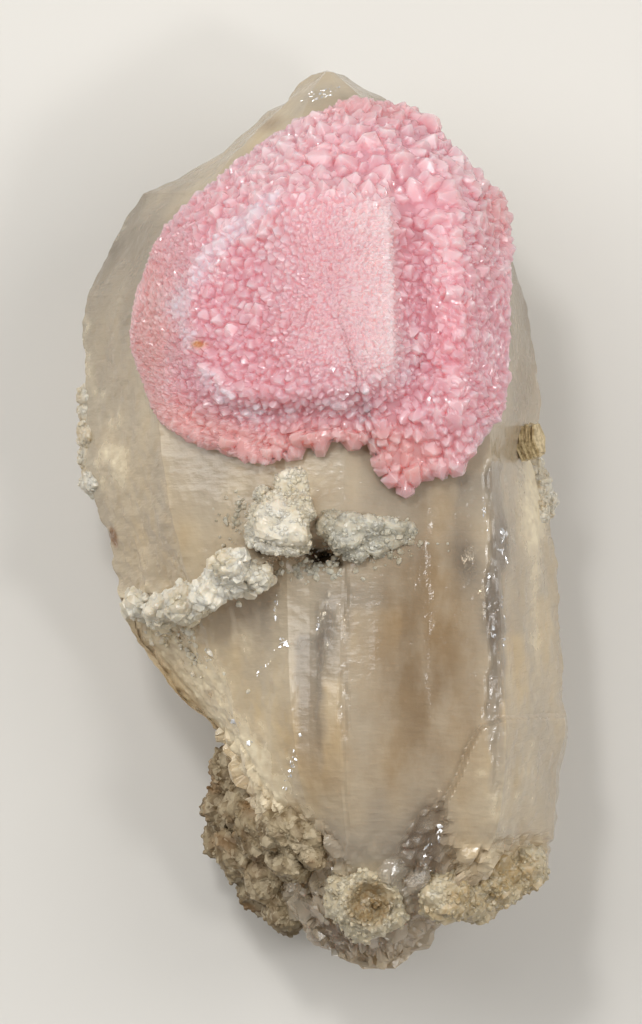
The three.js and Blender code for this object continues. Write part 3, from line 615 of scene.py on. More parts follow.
def crystal_skin():
    """Points of the crystal: for a station y and a place u round the section, the point on the straight
    side between two corners, pushed out by the face's uneven values and lifted on the front."""
    y = np.linspace(*END_STATIONS, STATIONS)
    corners = section(y)
    plain, rough = plain_faces(corners)
    upright = np.broadcast_to(along_mm(y)[:, None], plain.shape[:2])
    place = np.stack([plain[..., 0], upright, plain[..., 1]], axis=-1)
    x, z = np.moveaxis(pushed_out(plain, corners, place, rough), -1, 0)
    points = healed(np.stack([x, upright, np.maximum(z + front_lift(place), 0)], axis=-1))
    tip = [[across_mm(TIP[0]), HALF_LENGTH, DEPTH * TIP[1] / 100]]
    foot = [[across_mm(FOOT[0]), -HALF_LENGTH, DEPTH * FOOT[1] / 100]]
    return np.concatenate([tip, points.reshape(-1, 3), foot])


def placed(points):
    """Points of the drawing above, in the frame: moved sideways to where the frame has the crystal."""
    return points + [SIDEWAYS, 0, 0]


crystal_points = crystal_skin()
smoky_crystal = piece(
    "smoky_quartz_crystal", placed(crystal_points), skin_faces(STATIONS, sum(FACE_PIECES)),
    "smoky_quartz",
)

# %% [markdown]
# ## What covers the big crystal
#
# Most of the crystal is clear to cloudy. On the lower left flank it wears a cream film of feldspar,
# with brown iron stains, the broken foot is milky, and the seam's pits are painted dark and opaque as
# painted shade. These are numbers stored at the points: how cloudy the quartz is just below the
# surface, and how much film, tan, rust and painted pit shade there is. They come from soft patches and
# panes at their real places, broken up by uneven values.

# %% Cloudiness, film and stains
# All patches: x, y, half sizes in mm, turn in radians, strength. First the painted shade in the seam's pits
PIT_SHADE_PATCHES = [
    (-1.2, -3.9, 1.5, 0.9, -0.4, 1.2), (1.2, -4.6, 1.5, 0.7, -0.5, 1.1), (-6.6, -3.0, 1.1, 0.8, 0.4, 1.1),
]
# The cream feldspar film
FILM_PATCHES = [
    (-20, -10.5, 5.5, 3.0, -0.3, 0.95), (-14.5, -18, 6.5, 3.4, -0.85, 1.0), (-8, -26.5, 6.0, 3.2, -1.0, 0.9),
    (-24, 7, 2.5, 9, 0, 0.7), (-27, 20, 1.6, 9, 0, 0.5), (-5.5, -34, 5.5, 4.5, 0, 0.7),
    (2, -41, 6, 4, 0, 0.7), (23.5, 3.5, 2.2, 5, 0, 0.9), (20, -40, 5, 3, 0.3, 0.6),
    (15.2, -28, 1.1, 1.1, 0, 0.3), (-2, 4, 4.5, 2.5, 0, 0.5),
    (23.5, -8, 1.3, 16, 0, 0.55), (-8.8, -12.5, 4.5, 4, 0.6, 0.45), (-22.5, 33, 2.5, 7, -0.5, 0.4),
    (20.5, -31, 5, 8, 0, 0.45),
]
# Panes of the quartz that are clearer or cloudier than what lies beside them: left and right edge x, top
# and bottom y in mm, and how much cloudier
PANES = [
    (-3.0, 0.0, -12, -31, -0.3), (-0.2, 2.0, -17, -30, 0.35), (-12.2, -5.6, -7, -19, -0.12),
    (18.2, 19.9, 7, -34, -0.4), (20.0, 22.6, -12, -24, 0.3), (23.4, 25.2, -8, -20, 0.3),
    (14.6, 18.0, 6, -4, -0.25), (3.0, 8.5, -9, -19, 0.2),
]
# Hazy parts, by how much cloudier they are
HAZE_PATCHES = [
    (-15, -18, 6, 7, -0.8, 0.5), (-8, -27, 6, 6, -0.9, 0.55), (20, -31, 6, 10, 0, 0.3),
    (-8.5, -13, 5, 5, 0, 0.2), (-2, 44, 8, 5, 0, 0.3), (-17, -2, 8, 8, 0, 0.2), (22, -8, 4, 18, 0, 0.2),
]
# Smoky tan quartz, iron stains, and windows of clear quartz
TAN_PATCHES = [
    (10.5, -14, 10, 25, 0, 1.1), (-17, -1.5, 7.0, 7.0, 0, 0.45), (-16.5, -15, 1.8, 2.2, -0.6, 1.0),
    (-12.8, -19.6, 1.4, 1.0, -0.5, 1.0), (-5, -38, 5, 4, 0, 0.9), (18, -41, 5.5, 2.5, 0.4, 1.1),
    (22.6, 15, 1.4, 4, 0, 0.6), (-2.6, 3.4, 3.4, 2.2, 0, 0.7), (-6, 44.2, 1.6, 1.0, 0.5, 1.0),
    (-2, -26, 4, 10, 0.1, 0.5),
]
RUST_PATCHES = [
    (-23.6, -1.9, 0.8, 1.6, 0.2, 1.0), (-4.5, -43, 2, 1.5, 0, 0.6), (16, -42, 2.5, 1.2, 0.3, 0.6),
    (-8.5, -30, 1.0, 2.5, 0.5, 0.5),
]
CLEAR_PATCHES = [
    (-8.5, -12.5, 4.6, 4.6, 0, 0.3), (6.3, 3.2, 2.2, 2.4, 0, 0.3), (20, -31, 5.0, 8.0, 0, 0.2),
    (11, -36, 2.6, 5.5, -0.3, 0.7), (22.8, -6, 2.2, 22, 0, 0.5), (-21, 31, 6, 9, -0.5, 0.7),
    (0, 47, 8, 4, 0, 0.6), (22, 24, 2, 8, 0, 0.6), (3, -46, 5, 3, 0, 0.8), (15.6, -4.2, 1.8, 3.2, 0.2, 1.2),
    (18.6, -10.5, 1.2, 3.6, 0, 1.2), (20, -2.6, 0.9, 3.2, 0, 1.2), (0.2, -12, 1.0, 4.5, 0, 0.9),
    (12, -38, 2.0, 5, 0.2, 0.8), (19.4, -35, 1.6, 1.6, 0, 0.8),
]


def crystal_cover(points):
    """Cloudiness, film, tan, rust and painted pit shade at the crystal's points, each from 0 to 1: the
    sum of its patches and of uneven values, eased. Film and panes are on the front; the back has a thin
    film and is cloudier."""
    x, y, z = points.T
    broad = uneven(points, 9, 3, seed=21)
    fine = uneven(points, 1.6, 3, seed=22)
    upright = uneven(points * [1, 0.3, 1], 2.2, 2, seed=23)
    back = 1 - eased(z, 0, 3)
    film = eased(patches(x, y, FILM_PATCHES) * eased(z, 8, 18) + 0.28 * fine + 0.16 * broad, 0.3, 1.1)
    cloudy = 0.64 + 0.18 * broad + 0.1 * upright - 0.5 * patches(x, y, CLEAR_PATCHES)
    panes = patches(x, y, HAZE_PATCHES) + sum(strip(x, y, *row) for row in PANES)
    cloudy = cloudy + panes * eased(z, 14, 22) + 0.2 * back
    return {
        "cloudy": np.clip(cloudy, 0.12, 1),
        "film": np.clip(film + 0.3 * back, 0, 1),
        "tan": eased(patches(x, y, TAN_PATCHES) + 0.12 * broad + 0.08 * fine, 0.15, 1.3),
        "rust": eased(patches(x, y, RUST_PATCHES) + 0.35 * fine, 0.45, 1.0),
        # Painted shade: the seam's pits are darkened where shade falls in them
        "pit_shade_and_rock_dirt": eased(patches(x, y, PIT_SHADE_PATCHES) + 0.2 * fine, 0.3, 0.8),
    }


for cover, values in crystal_cover(crystal_points).items():
    store(smoky_crystal, cover, values)
    print(f"{cover}: mean {values.mean():.2f}")

# %% [markdown]
# ## The plain form of the pink crust
#
# Before its little crystals are set on it, the crust needs its body: 2 mm thick at its rim and 7 in its
# middle, with a raised inner mass, a smooth flat on that, a groove on its right and a rounded ridge
# beyond. Its surface is a function of two values: a share from the middle out to the rim, and a turn
# round it. Past the rim the same rows go down the side and in under the crust, along the big crystal's
# faces.

# %% The crust's rim and height
# The rim: [x, y] in percent, clockwise from the tip
CRUST_RIM = np.array([
    [24, 93], [39, 91], [52, 84], [61, 78], [74, 71], [77, 62], [76, 49], [75, 28], [68, 20],
    [54, 11], [42, 9], [31, 7], [23, 12], [15, 17], [-9, 16], [-25, 12.5], [-46, 16], [-66, 21],
    [-75, 31], [-80, 41], [-74, 56], [-64, 66], [-46, 75], [-25, 84], [-8, 89], [9, 93],
])
CRUST_MIDDLE = np.array([across_mm(3), along_mm(51)])
# Lengths below are in mm
CRUST_THICKNESS = 3.6
EDGE_THICKNESS = 2.4
CRUST_FLOOR = 0.62 * DEPTH  # how far down the rim reaches where it overhangs the crystal
GROUND_PLACES = (-2.6, -1.3, 0, 1.3, 2.6)  # to the sides
INNER_MIDDLE = np.array([across_mm(-12), along_mm(50)])
INNER_HALF = 12.6
INNER_RISE = 2.3
INNER_EDGE = (0.86, 1.14)  # shares of its half width between which it falls
RIDGE_X = across_mm(54)
RIDGE_HALF = 3.6
RIDGE_RISE = 3.2
RIDGE_FOOT = along_mm([6, 30])  # where it rises from nothing to its height
RIDGE_TOP = along_mm([70, 92])
RIGHT_FALL = 1.2  # mm down for each mm across, on the crust's right side
FLAT_RISE = 1.4
FLAT_LEFT = (-8.5, -0.5)  # where it rises from nothing to its height
FLAT_FOOT = (12.5, 19)
FLAT_TOP = (33, 39)
FLAT_RIGHT = 8.2  # its right edge at y = 25, and how much that leans
FLAT_LEANS = 0.03


def flat_share(x, y):
    """1 on the fine-grained flat, 0 off it: it fades out softly to the left, at the top and at the foot,
    and ends in a sharp edge on the right."""
    right = FLAT_RIGHT - FLAT_LEANS * (y - 25)
    across = eased(x, *FLAT_LEFT) * (1 - eased(x, right - 0.9, right + 0.5))
    return across * eased(y, *FLAT_FOOT) * (1 - eased(y, *FLAT_TOP))


def bridged_front(x, y):
    """The crystal's front as it is without the seam, but on the right, where the crystal's side is
    steep, a slope that falls more gently and bridges the overhang."""
    percent = y * 100 / HALF_LENGTH
    past_ridge = x - across_mm(rail(RIGHT_RIDGE, percent))
    bridge = rail(RIGHT_RIDGE, percent, 2) * DEPTH / 100 - RIGHT_FALL * past_ridge
    front = front_height(x, y) + step_down(x, y)
    return np.where(past_ridge > 0, np.maximum(front, bridge), front)


def crust_ground(x, y):
    """What the crust's top follows: the mean of the front over places side by side, because a thick
    crust rounds off the edges under it."""
    return sum(bridged_front(x + aside, y) for aside in GROUND_PLACES) / len(GROUND_PLACES)


def crust_top(x, y):
    """Height of the crust's plain top: over the front by its thickness, the inner mass, the flat on it
    and the ridge on the right. The inner mass ends at across^4 + up^4 = 1, a square with round corners."""
    across = np.abs((x - INNER_MIDDLE[0]) / INNER_HALF)
    up = np.abs((y - INNER_MIDDLE[1]) / INNER_HALF)
    away = (across**4 + up**4) ** 0.25
    inner = INNER_RISE * (1 - eased(away, *INNER_EDGE))
    flat = FLAT_RISE * flat_share(x, y)
    length = eased(y, *RIDGE_FOOT) * (1 - eased(y, *RIDGE_TOP))
    ridge = RIDGE_RISE * length * np.exp(-(((x - RIDGE_X) / RIDGE_HALF) ** 2))
    return crust_ground(x, y) + CRUST_THICKNESS + inner + flat + ridge


def rim_point(turn):
    """A point of the smooth closed curve through the rim's corners at turn 0 to 1. Between corners b and
    c, with a before and d after: b + (c-a)s/2 + (2a-5b+4c-d)ss/2 + (3b-a-3c+d)sss/2."""
    corners = np.stack([across_mm(CRUST_RIM[:, 0]), along_mm(CRUST_RIM[:, 1])], axis=-1)
    count = len(corners)
    place = (turn % 1) * count
    index = np.floor(place).astype(int)
    s = (place - index)[:, None]
    a, b, c, d = (corners[(index + step) % count] for step in (-1, 0, 1, 2))
    curve = (2 * a - 5 * b + 4 * c - d) * s * s + (3 * b - a - 3 * c + d) * s**3
    return b + ((c - a) * s + curve) / 2


# %% The crust's plain skin
SECTORS = 600
ROWS = 158
UNDER_ROWS = 5
FINE_TOP, FINE_WALL = 240, 110  # rows before they are spaced evenly
FIRST_ROW = 0.004  # share of the way from the middle to the rim
THINS_FROM = 0.6  # the same, from where the crust thins towards its rim
WALL_REACH = 0.15  # how far a wall down to the floor draws in, as a share
WALL_CURVE = 1.3
BARE_FROM = (0.45, 0.95)  # shares of the way down the wall between which it turns bare
ROUNDED_TIMES = 10
UNDER_SHARE = 0.75  # how far in the underside goes, as a share of the way from the middle to the rim
ROOT = 0.4  # mm that the crust reaches into the crystal
LEAST_UNDER = 1.5  # mm from the crust's top to its underside, at least


def crust_profiles():
    """Fine rows (rows, sectors, 4) of x, y, z and how freely the small crystals grow: over the top from
    the middle to the rim, then down the wall, which draws in as it falls and is bare at its foot."""
    rim = rim_point(np.arange(SECTORS) / SECTORS)
    share = np.linspace(FIRST_ROW, 1, FINE_TOP)[:, None]
    x, y = np.moveaxis(mixed_by(share[..., None], CRUST_MIDDLE, rim[None]), -1, 0)
    fall = (CRUST_THICKNESS - EDGE_THICKNESS) * eased(share, THINS_FROM, 1)
    top = np.maximum(crust_top(x, y) - fall, CRUST_FLOOR + 1)
    over = np.stack([x, y, top, np.ones_like(x)], axis=-1)
    down = np.linspace(0, 1, FINE_WALL + 1)[1:, None]
    foot = np.minimum(np.maximum(front_height(*rim.T) - ROOT, CRUST_FLOOR), top[-1])
    level = mixed_by(down, top[-1], foot)
    draw_in = 1 - WALL_REACH * ((top[-1] - level) / (top[-1] - CRUST_FLOOR)) ** WALL_CURVE
    x, y = np.moveaxis(mixed_by(draw_in[..., None], CRUST_MIDDLE, rim[None]), -1, 0)
    free = 1 - eased(down + 0 * level, *BARE_FROM)
    return np.concatenate([over, np.stack([x, y, level, free], axis=-1)])


def rounded(skin, times):
    """The skin with its creases eased: each point becomes half itself and half the mean of its four
    neighbours, several times over. The first and last rows stay."""
    for _ in range(times):
        around = (np.roll(skin, 1, axis=1) + np.roll(skin, -1, axis=1)) / 4
        along = (skin[:-2] + skin[2:]) / 4
        skin = np.concatenate([skin[:1], (skin[1:-1] + around[1:-1] + along) / 2, skin[-1:]])
    return skin


def respaced(skin, rows):
    """Each sector's profile with this many rows, spaced along its length by 0.6 t + 0.4 t t: closer
    near the middle, where the sectors crowd and a coarse row would show as rays."""
    pieces = np.linalg.norm(np.diff(skin[..., :3], axis=0), axis=-1)
    length = np.concatenate([np.zeros((1, skin.shape[1])), np.cumsum(pieces, axis=0)])
    apart = 1000.0 * np.arange(skin.shape[1])  # keeps the sectors apart on one long line
    t = np.linspace(0, 1, rows)[:, None]
    wanted = ((0.6 * t + 0.4 * t * t) * length[-1] + apart).T.ravel()
    known = (length + apart).T.ravel()
    channels = [np.interp(wanted, known, skin[..., i].T.ravel()) for i in range(skin.shape[-1])]
    return np.stack(channels, axis=-1).reshape(skin.shape[1], rows, -1).swapaxes(0, 1)


def crust_skin():
    """The rows of the crust's plain skin with those of its underside, and how freely crystals grow."""
    spaced = respaced(rounded(crust_profiles(), ROUNDED_TIMES), ROWS)
    share = np.linspace(1, UNDER_SHARE, UNDER_ROWS + 1)[1:, None, None]
    under = mixed_by(share, CRUST_MIDDLE, spaced[-1:, :, :2])
    level = np.maximum(front_height(under[..., 0], under[..., 1]) - ROOT, CRUST_FLOOR)
    level = np.minimum(level, crust_top(under[..., 0], under[..., 1]) - LEAST_UNDER)
    under = np.concatenate([under, level[..., None]], axis=-1)
    return np.concatenate([spaced[..., :3], under]), np.concatenate([spaced[..., 3], 0 * level])


plain_crust, growth = crust_skin()
crust_out = outward(plain_crust)
print("share of the top that looks up:", (crust_out[:100, :, 2] > 0).mean().round(3))

# %% [markdown]
# ## Thousands of small pink crystals
#
# Their size changes over the crust. At the upper right they are usually almost 2 mm wide, and a few are
# 3 mm. In the middle they are half that, and they are finest on the flat and on the left rim, where they
# look like sugar.

# %% The pink druse
DRUSE_TRIES = 55000
DRUSE_LOWEST = -0.38  # mm, where the skin stays between the crystals
LEAN, LEAN_ON_FLAT = 0.5, 0.3  # tangents
HEIGHTS = (0.24, 0.52)  # shares of the width
LOWER_ON_FLAT = 0.75
TALLER_WHEN_WIDE = 0.3
CLOSING_HEIGHT = 6  # mm over the crust's floor, inside the crystal, where its underside closes


def grain_size(x, y):
    """Usual width in mm of the small crystals at x, y: coarse at the upper right, fine on the flat and
    on the left rim."""
    size = 0.9 + 0.95 * spot(x, y, 9, 38, 12, 7) + 0.35 * spot(x, y, -6, 33, 9, 6)
    size = size + 0.3 * spot(x, y, 13, 7, 9, 6)
    left_rim = eased(-x, 13.5, 17.5) * (1 - eased(y, 30, 38))
    size = mixed_by(left_rim, size, 0.55)
    return mixed_by(flat_share(x, y), size, 0.45)


usual = grain_size(plain_crust[..., 0], plain_crust[..., 1])
rows, columns, widths = crystal_places(plain_crust, usual, growth, DRUSE_TRIES)
calm = flat_share(*plain_crust[rows, columns, :2].T)
leans = mixed_by(calm, LEAN, LEAN_ON_FLAT)
heights = widths * rng.uniform(*HEIGHTS, len(widths)) * mixed_by(calm, 1, LOWER_ON_FLAT)
heights = heights * (1 + TALLER_WHEN_WIDE * eased(widths, 1.0, 1.8))
print("small crystals:", len(rows), "widths in mm:", widths.min().round(2), "to", widths.max().round(2))
move_out, facet = grown(plain_crust, (rows, columns, widths, leans, heights), DRUSE_LOWEST)
move_out = move_out * growth
druse_points = plain_crust + crust_out * move_out[..., None]
print("growth in mm:", move_out.min().round(2), "to", move_out.max().round(2))
crust_start = druse_points[0].mean(axis=0, keepdims=True)
crust_end = plain_crust[-1].mean(axis=0, keepdims=True) * [1, 1, 0] + [0, 0, CRUST_FLOOR + CLOSING_HEIGHT]
all_crust = np.concatenate([crust_start, druse_points.reshape(-1, 3), crust_end])
rose_crust = piece(
    "rose_quartz_druse", placed(all_crust), skin_faces(len(druse_points), SECTORS),
    "rose_quartz_crust",
)

# %% [markdown]
# ## The pinks of the crust
#
# Rose quartz of this kind is coloured all through, by fibres far too fine to see. Shade is painted
# into the pink: it is deeper in the groove, round the foot of each step and in the gaps between the
# small crystals. Light is painted too: the tips are paler, and the fine-grained flat, pale of its own,
# is painted paler still towards its right edge. The frosted, milky crystals that ring the inner mass
# are paler of their own. Each facet also shows its own shade, because it looks into the stone in its
# own direction.


# %% Colour and frost at every point
def linear(hex_colour):
    """An sRGB hex colour as linear RGB: c / 12.92 for dark c, otherwise ((c + 0.055) / 1.055)^2.4."""
    channels = np.array([int(hex_colour[place : place + 2], 16) for place in (1, 3, 5)]) / 255
    return np.where(channels <= 0.04045, channels / 12.92, ((channels + 0.055) / 1.055) ** 2.4)


# The deep pink is also the colour of painted shade, and the pale pink that of painted light
ROSE_DEEP_AND_SHADE = linear("#DF9FAA")
ROSE = linear("#E3ABB4")
ROSE_PALE_AND_PAINTED_LIGHT = linear("#ECD2D3")
ROSE_MILKY = linear("#E8D7DF")
ROSE_SALMON = linear("#DCA29B")
RUST_STAIN = linear("#C9895F")
# Frosted milky crystals round the inner mass: x, y, half sizes in mm, turn, strength
MILKY_PATCHES = [
    (-16.1, 23.5, 1.8, 2.2, 0, 1), (-15, 20, 1.4, 1.5, 0, 1), (-13.9, 27, 1.5, 2.2, -0.4, 1),
    (-11.8, 30.4, 1.6, 2.4, -0.7, 0.9), (-9, 33, 2.6, 1.4, 0.6, 1), (-5.6, 35.6, 2.8, 1.2, 0.5, 0.9),
    (-13.2, 15.7, 1.3, 1.2, 0, 1), (-11, 13.7, 1.6, 1.2, 0, 1), (-7.7, 11.9, 1.9, 1.3, 0, 0.9),
    (-3.6, 11.6, 1.7, 1.1, 0, 0.7), (1, 12.5, 1.5, 1.1, 0, 0.6), (8.9, 15.8, 1.3, 1.4, 0, 0.9),
    (4.6, 11.2, 1.3, 1.2, 0, 0.6), (12, 38.5, 2.2, 2.6, 0, 0.4), (8, 38, 3, 2, 0.3, 0.4),
]
# Painted shade, deeper pink in the groove and at the foot of the step round the inner mass
GROOVE_AND_STEP_SHADE_PATCHES = [
    (10.8, 27, 2.2, 11, 0.05, 0.55), (12.5, 16, 3.4, 6, 0, 0.7), (-11.5, 22.5, 3.0, 4.5, 0, 0.7),
    (-9, 27, 3.4, 3.4, 0.6, 0.6), (-14.5, 15, 2.0, 4.0, 0.5, 0.5), (-6, 18.5, 3.5, 2.5, 0, 0.4),
    (7, 42, 6, 2, -0.3, 0.25),
]
SALMON_PATCHES = [
    (-19.5, 21, 3.0, 10, 0, 0.8), (-13, 9.5, 8, 2.4, -0.4, 0.9), (1, 8.5, 9, 2.2, 0, 0.8),
    (9.5, 5.5, 5, 3, 0, 0.6), (19.5, 35, 2.0, 6, 0, 0.4), (2, 46, 9, 1.8, 0, 0.4),
]
STAIN_PATCHES = [(-13.8, 19.4, 1.2, 0.6, 0, 1.1)]


def own_shade(numbers, seed):
    """A repeatable random value from 0 to 1 for each whole number."""
    return np.random.default_rng(seed).random(int(numbers.max()) + 1)[numbers]


def rose_colours(points, out, facet):
    """The crust's linear colour at each point, and how milky it is there."""
    x, y = points[..., 0], points[..., 1]
    shade = own_shade(facet, 1)
    grain = own_shade(facet // 12, 2)
    patchy = uneven(points, 5, 3, seed=31)
    fine = uneven(points, 1.0, 2, seed=32)
    # Deeper pink in random patches, and painted shade in the groove, at the step and between crystals
    deep = patches(x, y, GROOVE_AND_STEP_SHADE_PATCHES) + 0.3 * patchy - 0.3 * out + 0.1 * (shade - 0.5)
    colour = mixed_by(eased(deep, -0.1, 0.9)[..., None], ROSE, ROSE_DEEP_AND_SHADE)
    # Paler by random per crystal and facet, and painted light on the tips that stand out furthest
    pale = 0.15 + 0.4 * out + 0.24 * (grain - 0.5) + 0.12 * (shade - 0.5) - 0.25 * patchy
    colour = mixed_by(np.clip(pale, 0, 0.7)[..., None], colour, ROSE_PALE_AND_PAINTED_LIGHT)
    salmon = np.clip(patches(x, y, SALMON_PATCHES) + 0.15 * patchy, 0, 0.7)
    colour = mixed_by(salmon[..., None], colour, ROSE_SALMON)
    flat = flat_share(x, y)
    # The flat is pale of its own; painted light makes it paler still towards its right edge
    flat_pale_and_painted_light = flat * (0.3 + 0.5 * eased(x, 0, 7)) + 0.12 * fine * flat
    colour = mixed_by(np.clip(flat_pale_and_painted_light, 0, 0.85)[..., None], colour, ROSE_PALE_AND_PAINTED_LIGHT)
    milky = eased(patches(x, y, MILKY_PATCHES) + 0.25 * fine + 0.2 * (grain - 0.5), 0.35, 0.95)
    colour = mixed_by(0.6 * milky[..., None], colour, ROSE_MILKY)
    stain = np.clip(patches(x, y, STAIN_PATCHES) + 0.2 * fine, 0, 1) ** 2
    return mixed_by(stain[..., None], colour, RUST_STAIN), milky


druse_colour, milky = rose_colours(druse_points, move_out, facet)


def with_ends(values):
    """Values of the crust's rows, with those of its first and last point."""
    return np.concatenate([values[0, :1], values.reshape(-1, *values.shape[2:]), values[-1, :1]])


store(rose_crust, "pink", with_ends(druse_colour))
store(rose_crust, "milky", with_ends(milky))
print("milky share of the crust:", milky.mean().round(3))

# %% [markdown]
# ## Feldspar, mica and stained rock
#
# Albite, the white feldspar here, grows as small blocky crystals that crowd into sugary lumps. The
# stained rock is a crumbling mass of the same with brown grains. Both are made in two steps: a few
# larger lumps that have the mass, each a ball or block whose radius is a formula of its direction, and
# many cleaved grains, each a little box with pulled corners, set all over them.


# %% Lumps
LUMP_RINGS = 18
LUMP_COLUMNS = 28
LUMP_BUMPS = 1.6  # mm from one bump to the next


def directions(rings, columns):
    """Directions over a ball: its top, rings clockwise seen from above, and its bottom."""
    tilt = (np.arange(rings) + 1) * np.pi / (rings + 1)
    turn = -np.arange(columns) * 2 * np.pi / columns
    level = np.sin(tilt)[:, None]
    upright = np.broadcast_to(np.cos(tilt)[:, None], (rings, columns))
    around = np.stack([level * np.cos(turn), level * np.sin(turn), upright], axis=-1).reshape(-1, 3)
    return np.concatenate([[[0, 0, 1]], around, [[0, 0, -1]]])


def random_turns(count):
    """Random turns (count, 3, 3), from random quaternions."""
    quaternions = rng.normal(size=(4, count))
    w, x, y, z = quaternions / np.linalg.norm(quaternions, axis=0)
    turns = np.array([
        [1 - 2 * (y * y + z * z), 2 * (x * y - z * w), 2 * (x * z + y * w)],
        [2 * (x * y + z * w), 1 - 2 * (x * x + z * z), 2 * (y * z - x * w)],
        [2 * (x * z - y * w), 2 * (y * z + x * w), 1 - 2 * (x * x + y * y)],
    ])
    return np.moveaxis(turns, -1, 0)


def lump(centre, half_sizes, rough, square=2.0, turn=None):
    """A closed lump. In direction d its radius is 1 / (|dx|^p + |dy|^p + |dz|^p)^(1/p), a ball at p = 2
    and a block with eased edges at a large p, times 1 + rough * uneven values."""
    way = directions(LUMP_RINGS, LUMP_COLUMNS)
    radius = 1 / (np.abs(way) ** square).sum(axis=1) ** (1 / square)
    shape = way * radius[:, None] * half_sizes
    if turn is not None:
        shape = shape @ turn.T
    shape = shape * (1 + rough * uneven(shape + centre, LUMP_BUMPS, 3, seed=41))[:, None]
    return shape + centre, skin_faces(LUMP_RINGS, LUMP_COLUMNS)


def over_front(x_percent, y_percent, over):
    """A point over the crystal's front, from its place in percent and its height in mm."""
    x, y = across_mm(x_percent), along_mm(y_percent)
    return np.array([x, y, float(front_height(x, y)) + over])


# %% Grains
GRAIN_RINGS = 4
GRAIN_COLUMNS = 6
CORNER_PULLS = (0.78, 1.05)
GRAIN_WIDTHS = (0.7, 1)  # shares of the size
GRAIN_HEIGHTS = (0.8, 1.4)
SUNK_IN_LUMP = 0.28  # share of its width that a grain's middle lies under a lump's face
SUNK_IN_FRONT = 0.15
EDGE_MARGIN = 1.3  # mm that loose grains keep from the outline
MOSTLY_UP = -0.35  # grains sit on what looks up more than this, from -1 straight down to 1 straight up
ALL_ROUND = -0.95


def grains(centres, sizes):
    """Many cleaved grains, each a ball of few points pulled towards a block: in direction d its radius is
    1 / (|dx|^4 + |dy|^4 + |dz|^4)^(1/4), times a random share, longer one way and turned its own way."""
    count = len(centres)
    way = directions(GRAIN_RINGS, GRAIN_COLUMNS)
    block = way / ((way**4).sum(axis=1) ** 0.25)[:, None]
    pulls = rng.uniform(*CORNER_PULLS, (count, len(block), 1))
    wide = rng.uniform(*GRAIN_WIDTHS, count)
    tall = rng.uniform(*GRAIN_HEIGHTS, count)
    stretch = np.stack([np.ones(count), wide, tall], axis=-1)
    shapes = block * pulls * (stretch * sizes[:, None])[:, None] / 2
    points = np.einsum("nij,nkj->nki", random_turns(count), shapes) + centres[:, None]
    starts = len(block) * np.arange(count)[:, None, None]
    parts = skin_faces(GRAIN_RINGS, GRAIN_COLUMNS)
    return points.reshape(-1, 3), [(part + starts).reshape(-1, part.shape[1]) for part in parts]


def grains_on(lumps, count, sizes, upward=MOSTLY_UP):
    """Grains set over the faces of lumps that look up far enough. Random points of the lumps are taken,
    fewer near their tops, where the points crowd."""
    places = np.concatenate([points for points, _ in lumps])
    middles = np.concatenate([np.broadcast_to(points.mean(axis=0), points.shape) for points, _ in lumps])
    way = places - middles
    way = way / np.linalg.norm(way, axis=1, keepdims=True)
    crowding = np.tile(np.hypot(*directions(LUMP_RINGS, LUMP_COLUMNS)[:, :2].T), len(lumps))
    chance = crowding * (way[:, 2] > upward)
    picks = rng.choice(len(places), count, p=chance / chance.sum())
    width = rng.uniform(*sizes, count)
    return grains(places[picks] - way[picks] * width[:, None] * SUNK_IN_LUMP, width)


def sprinkled(rows, sizes):
    """Loose grains that sit in the front round given places. Each row: middle x and y, half spread across
    and up, all in mm, turn in radians and how many; the places are normally distributed."""
    centres = []
    for x, y, half_x, half_y, turn, count in rows:
        a, b = rng.normal(0, 0.5, (2, count)) * [[half_x], [half_y]]
        at_x = x + a * np.cos(turn) - b * np.sin(turn)
        at_y = y + a * np.sin(turn) + b * np.cos(turn)
        centres.append(np.stack([at_x, at_y, front_height(at_x, at_y) + front_details(at_x, at_y)], axis=-1))
    centres = np.concatenate(centres)
    percent = centres[:, 1] * 100 / HALF_LENGTH
    left = across_mm(rail(LEFT_OUTLINE, percent)) + EDGE_MARGIN
    right = across_mm(rail(RIGHT_OUTLINE, percent)) - EDGE_MARGIN
    centres = centres[(centres[:, 0] > left) & (centres[:, 0] < right)]
    width = mixed_by(rng.random(len(centres)) ** 2, *sizes)
    centres[:, 2] -= SUNK_IN_FRONT * width
    return grains(centres, width)


# %% Where the lumps are
# Each row: x and y in percent, height of the middle over the crystal's front, half sizes, in mm
BLOCK_ROWS = [
    [-17, -0.5, 0.9, 3.1, 2.5, 2.4], [-24, 0.5, 0.6, 1.7, 1.9, 1.8], [-19, -4.5, 0.4, 2.3, 1.5, 1.9],
    [-12, -5, 0, 1.7, 1.4, 1.6], [-27, -3, 0.2, 1.4, 1.4, 1.5], [-11, 2.2, 0.6, 1.9, 1.6, 1.7],
    [-13, 6.5, -0.3, 2.0, 2.3, 1.1], [-20, 3.5, 0.6, 1.7, 1.4, 1.5],
]
BEAD_ROWS = [[-25, 5.6, 0.5, 1.0, 1.0, 1.2], [-23, 3, 0.5, 1.1, 1.2, 1.2]]
CHAIN_ROWS = [
    [-48, -16, 3.0, 1.8, 1.8, 2.3], [-42, -13.5, 3.2, 1.9, 1.8, 2.4], [-35, -13.2, 3.4, 1.9, 1.6, 2.3],
    [-28, -12.6, 3.2, 1.8, 1.5, 2.2], [-38, -10, 2.4, 1.8, 1.8, 2.2], [-56, -18, 2.8, 2.3, 2.2, 3.0],
]
CHAIN_END_ROWS = [[-74, -19, 1.4, 2.4, 1.8, 4.4], [-65, -19.5, 2.0, 2.5, 1.8, 4.2]]
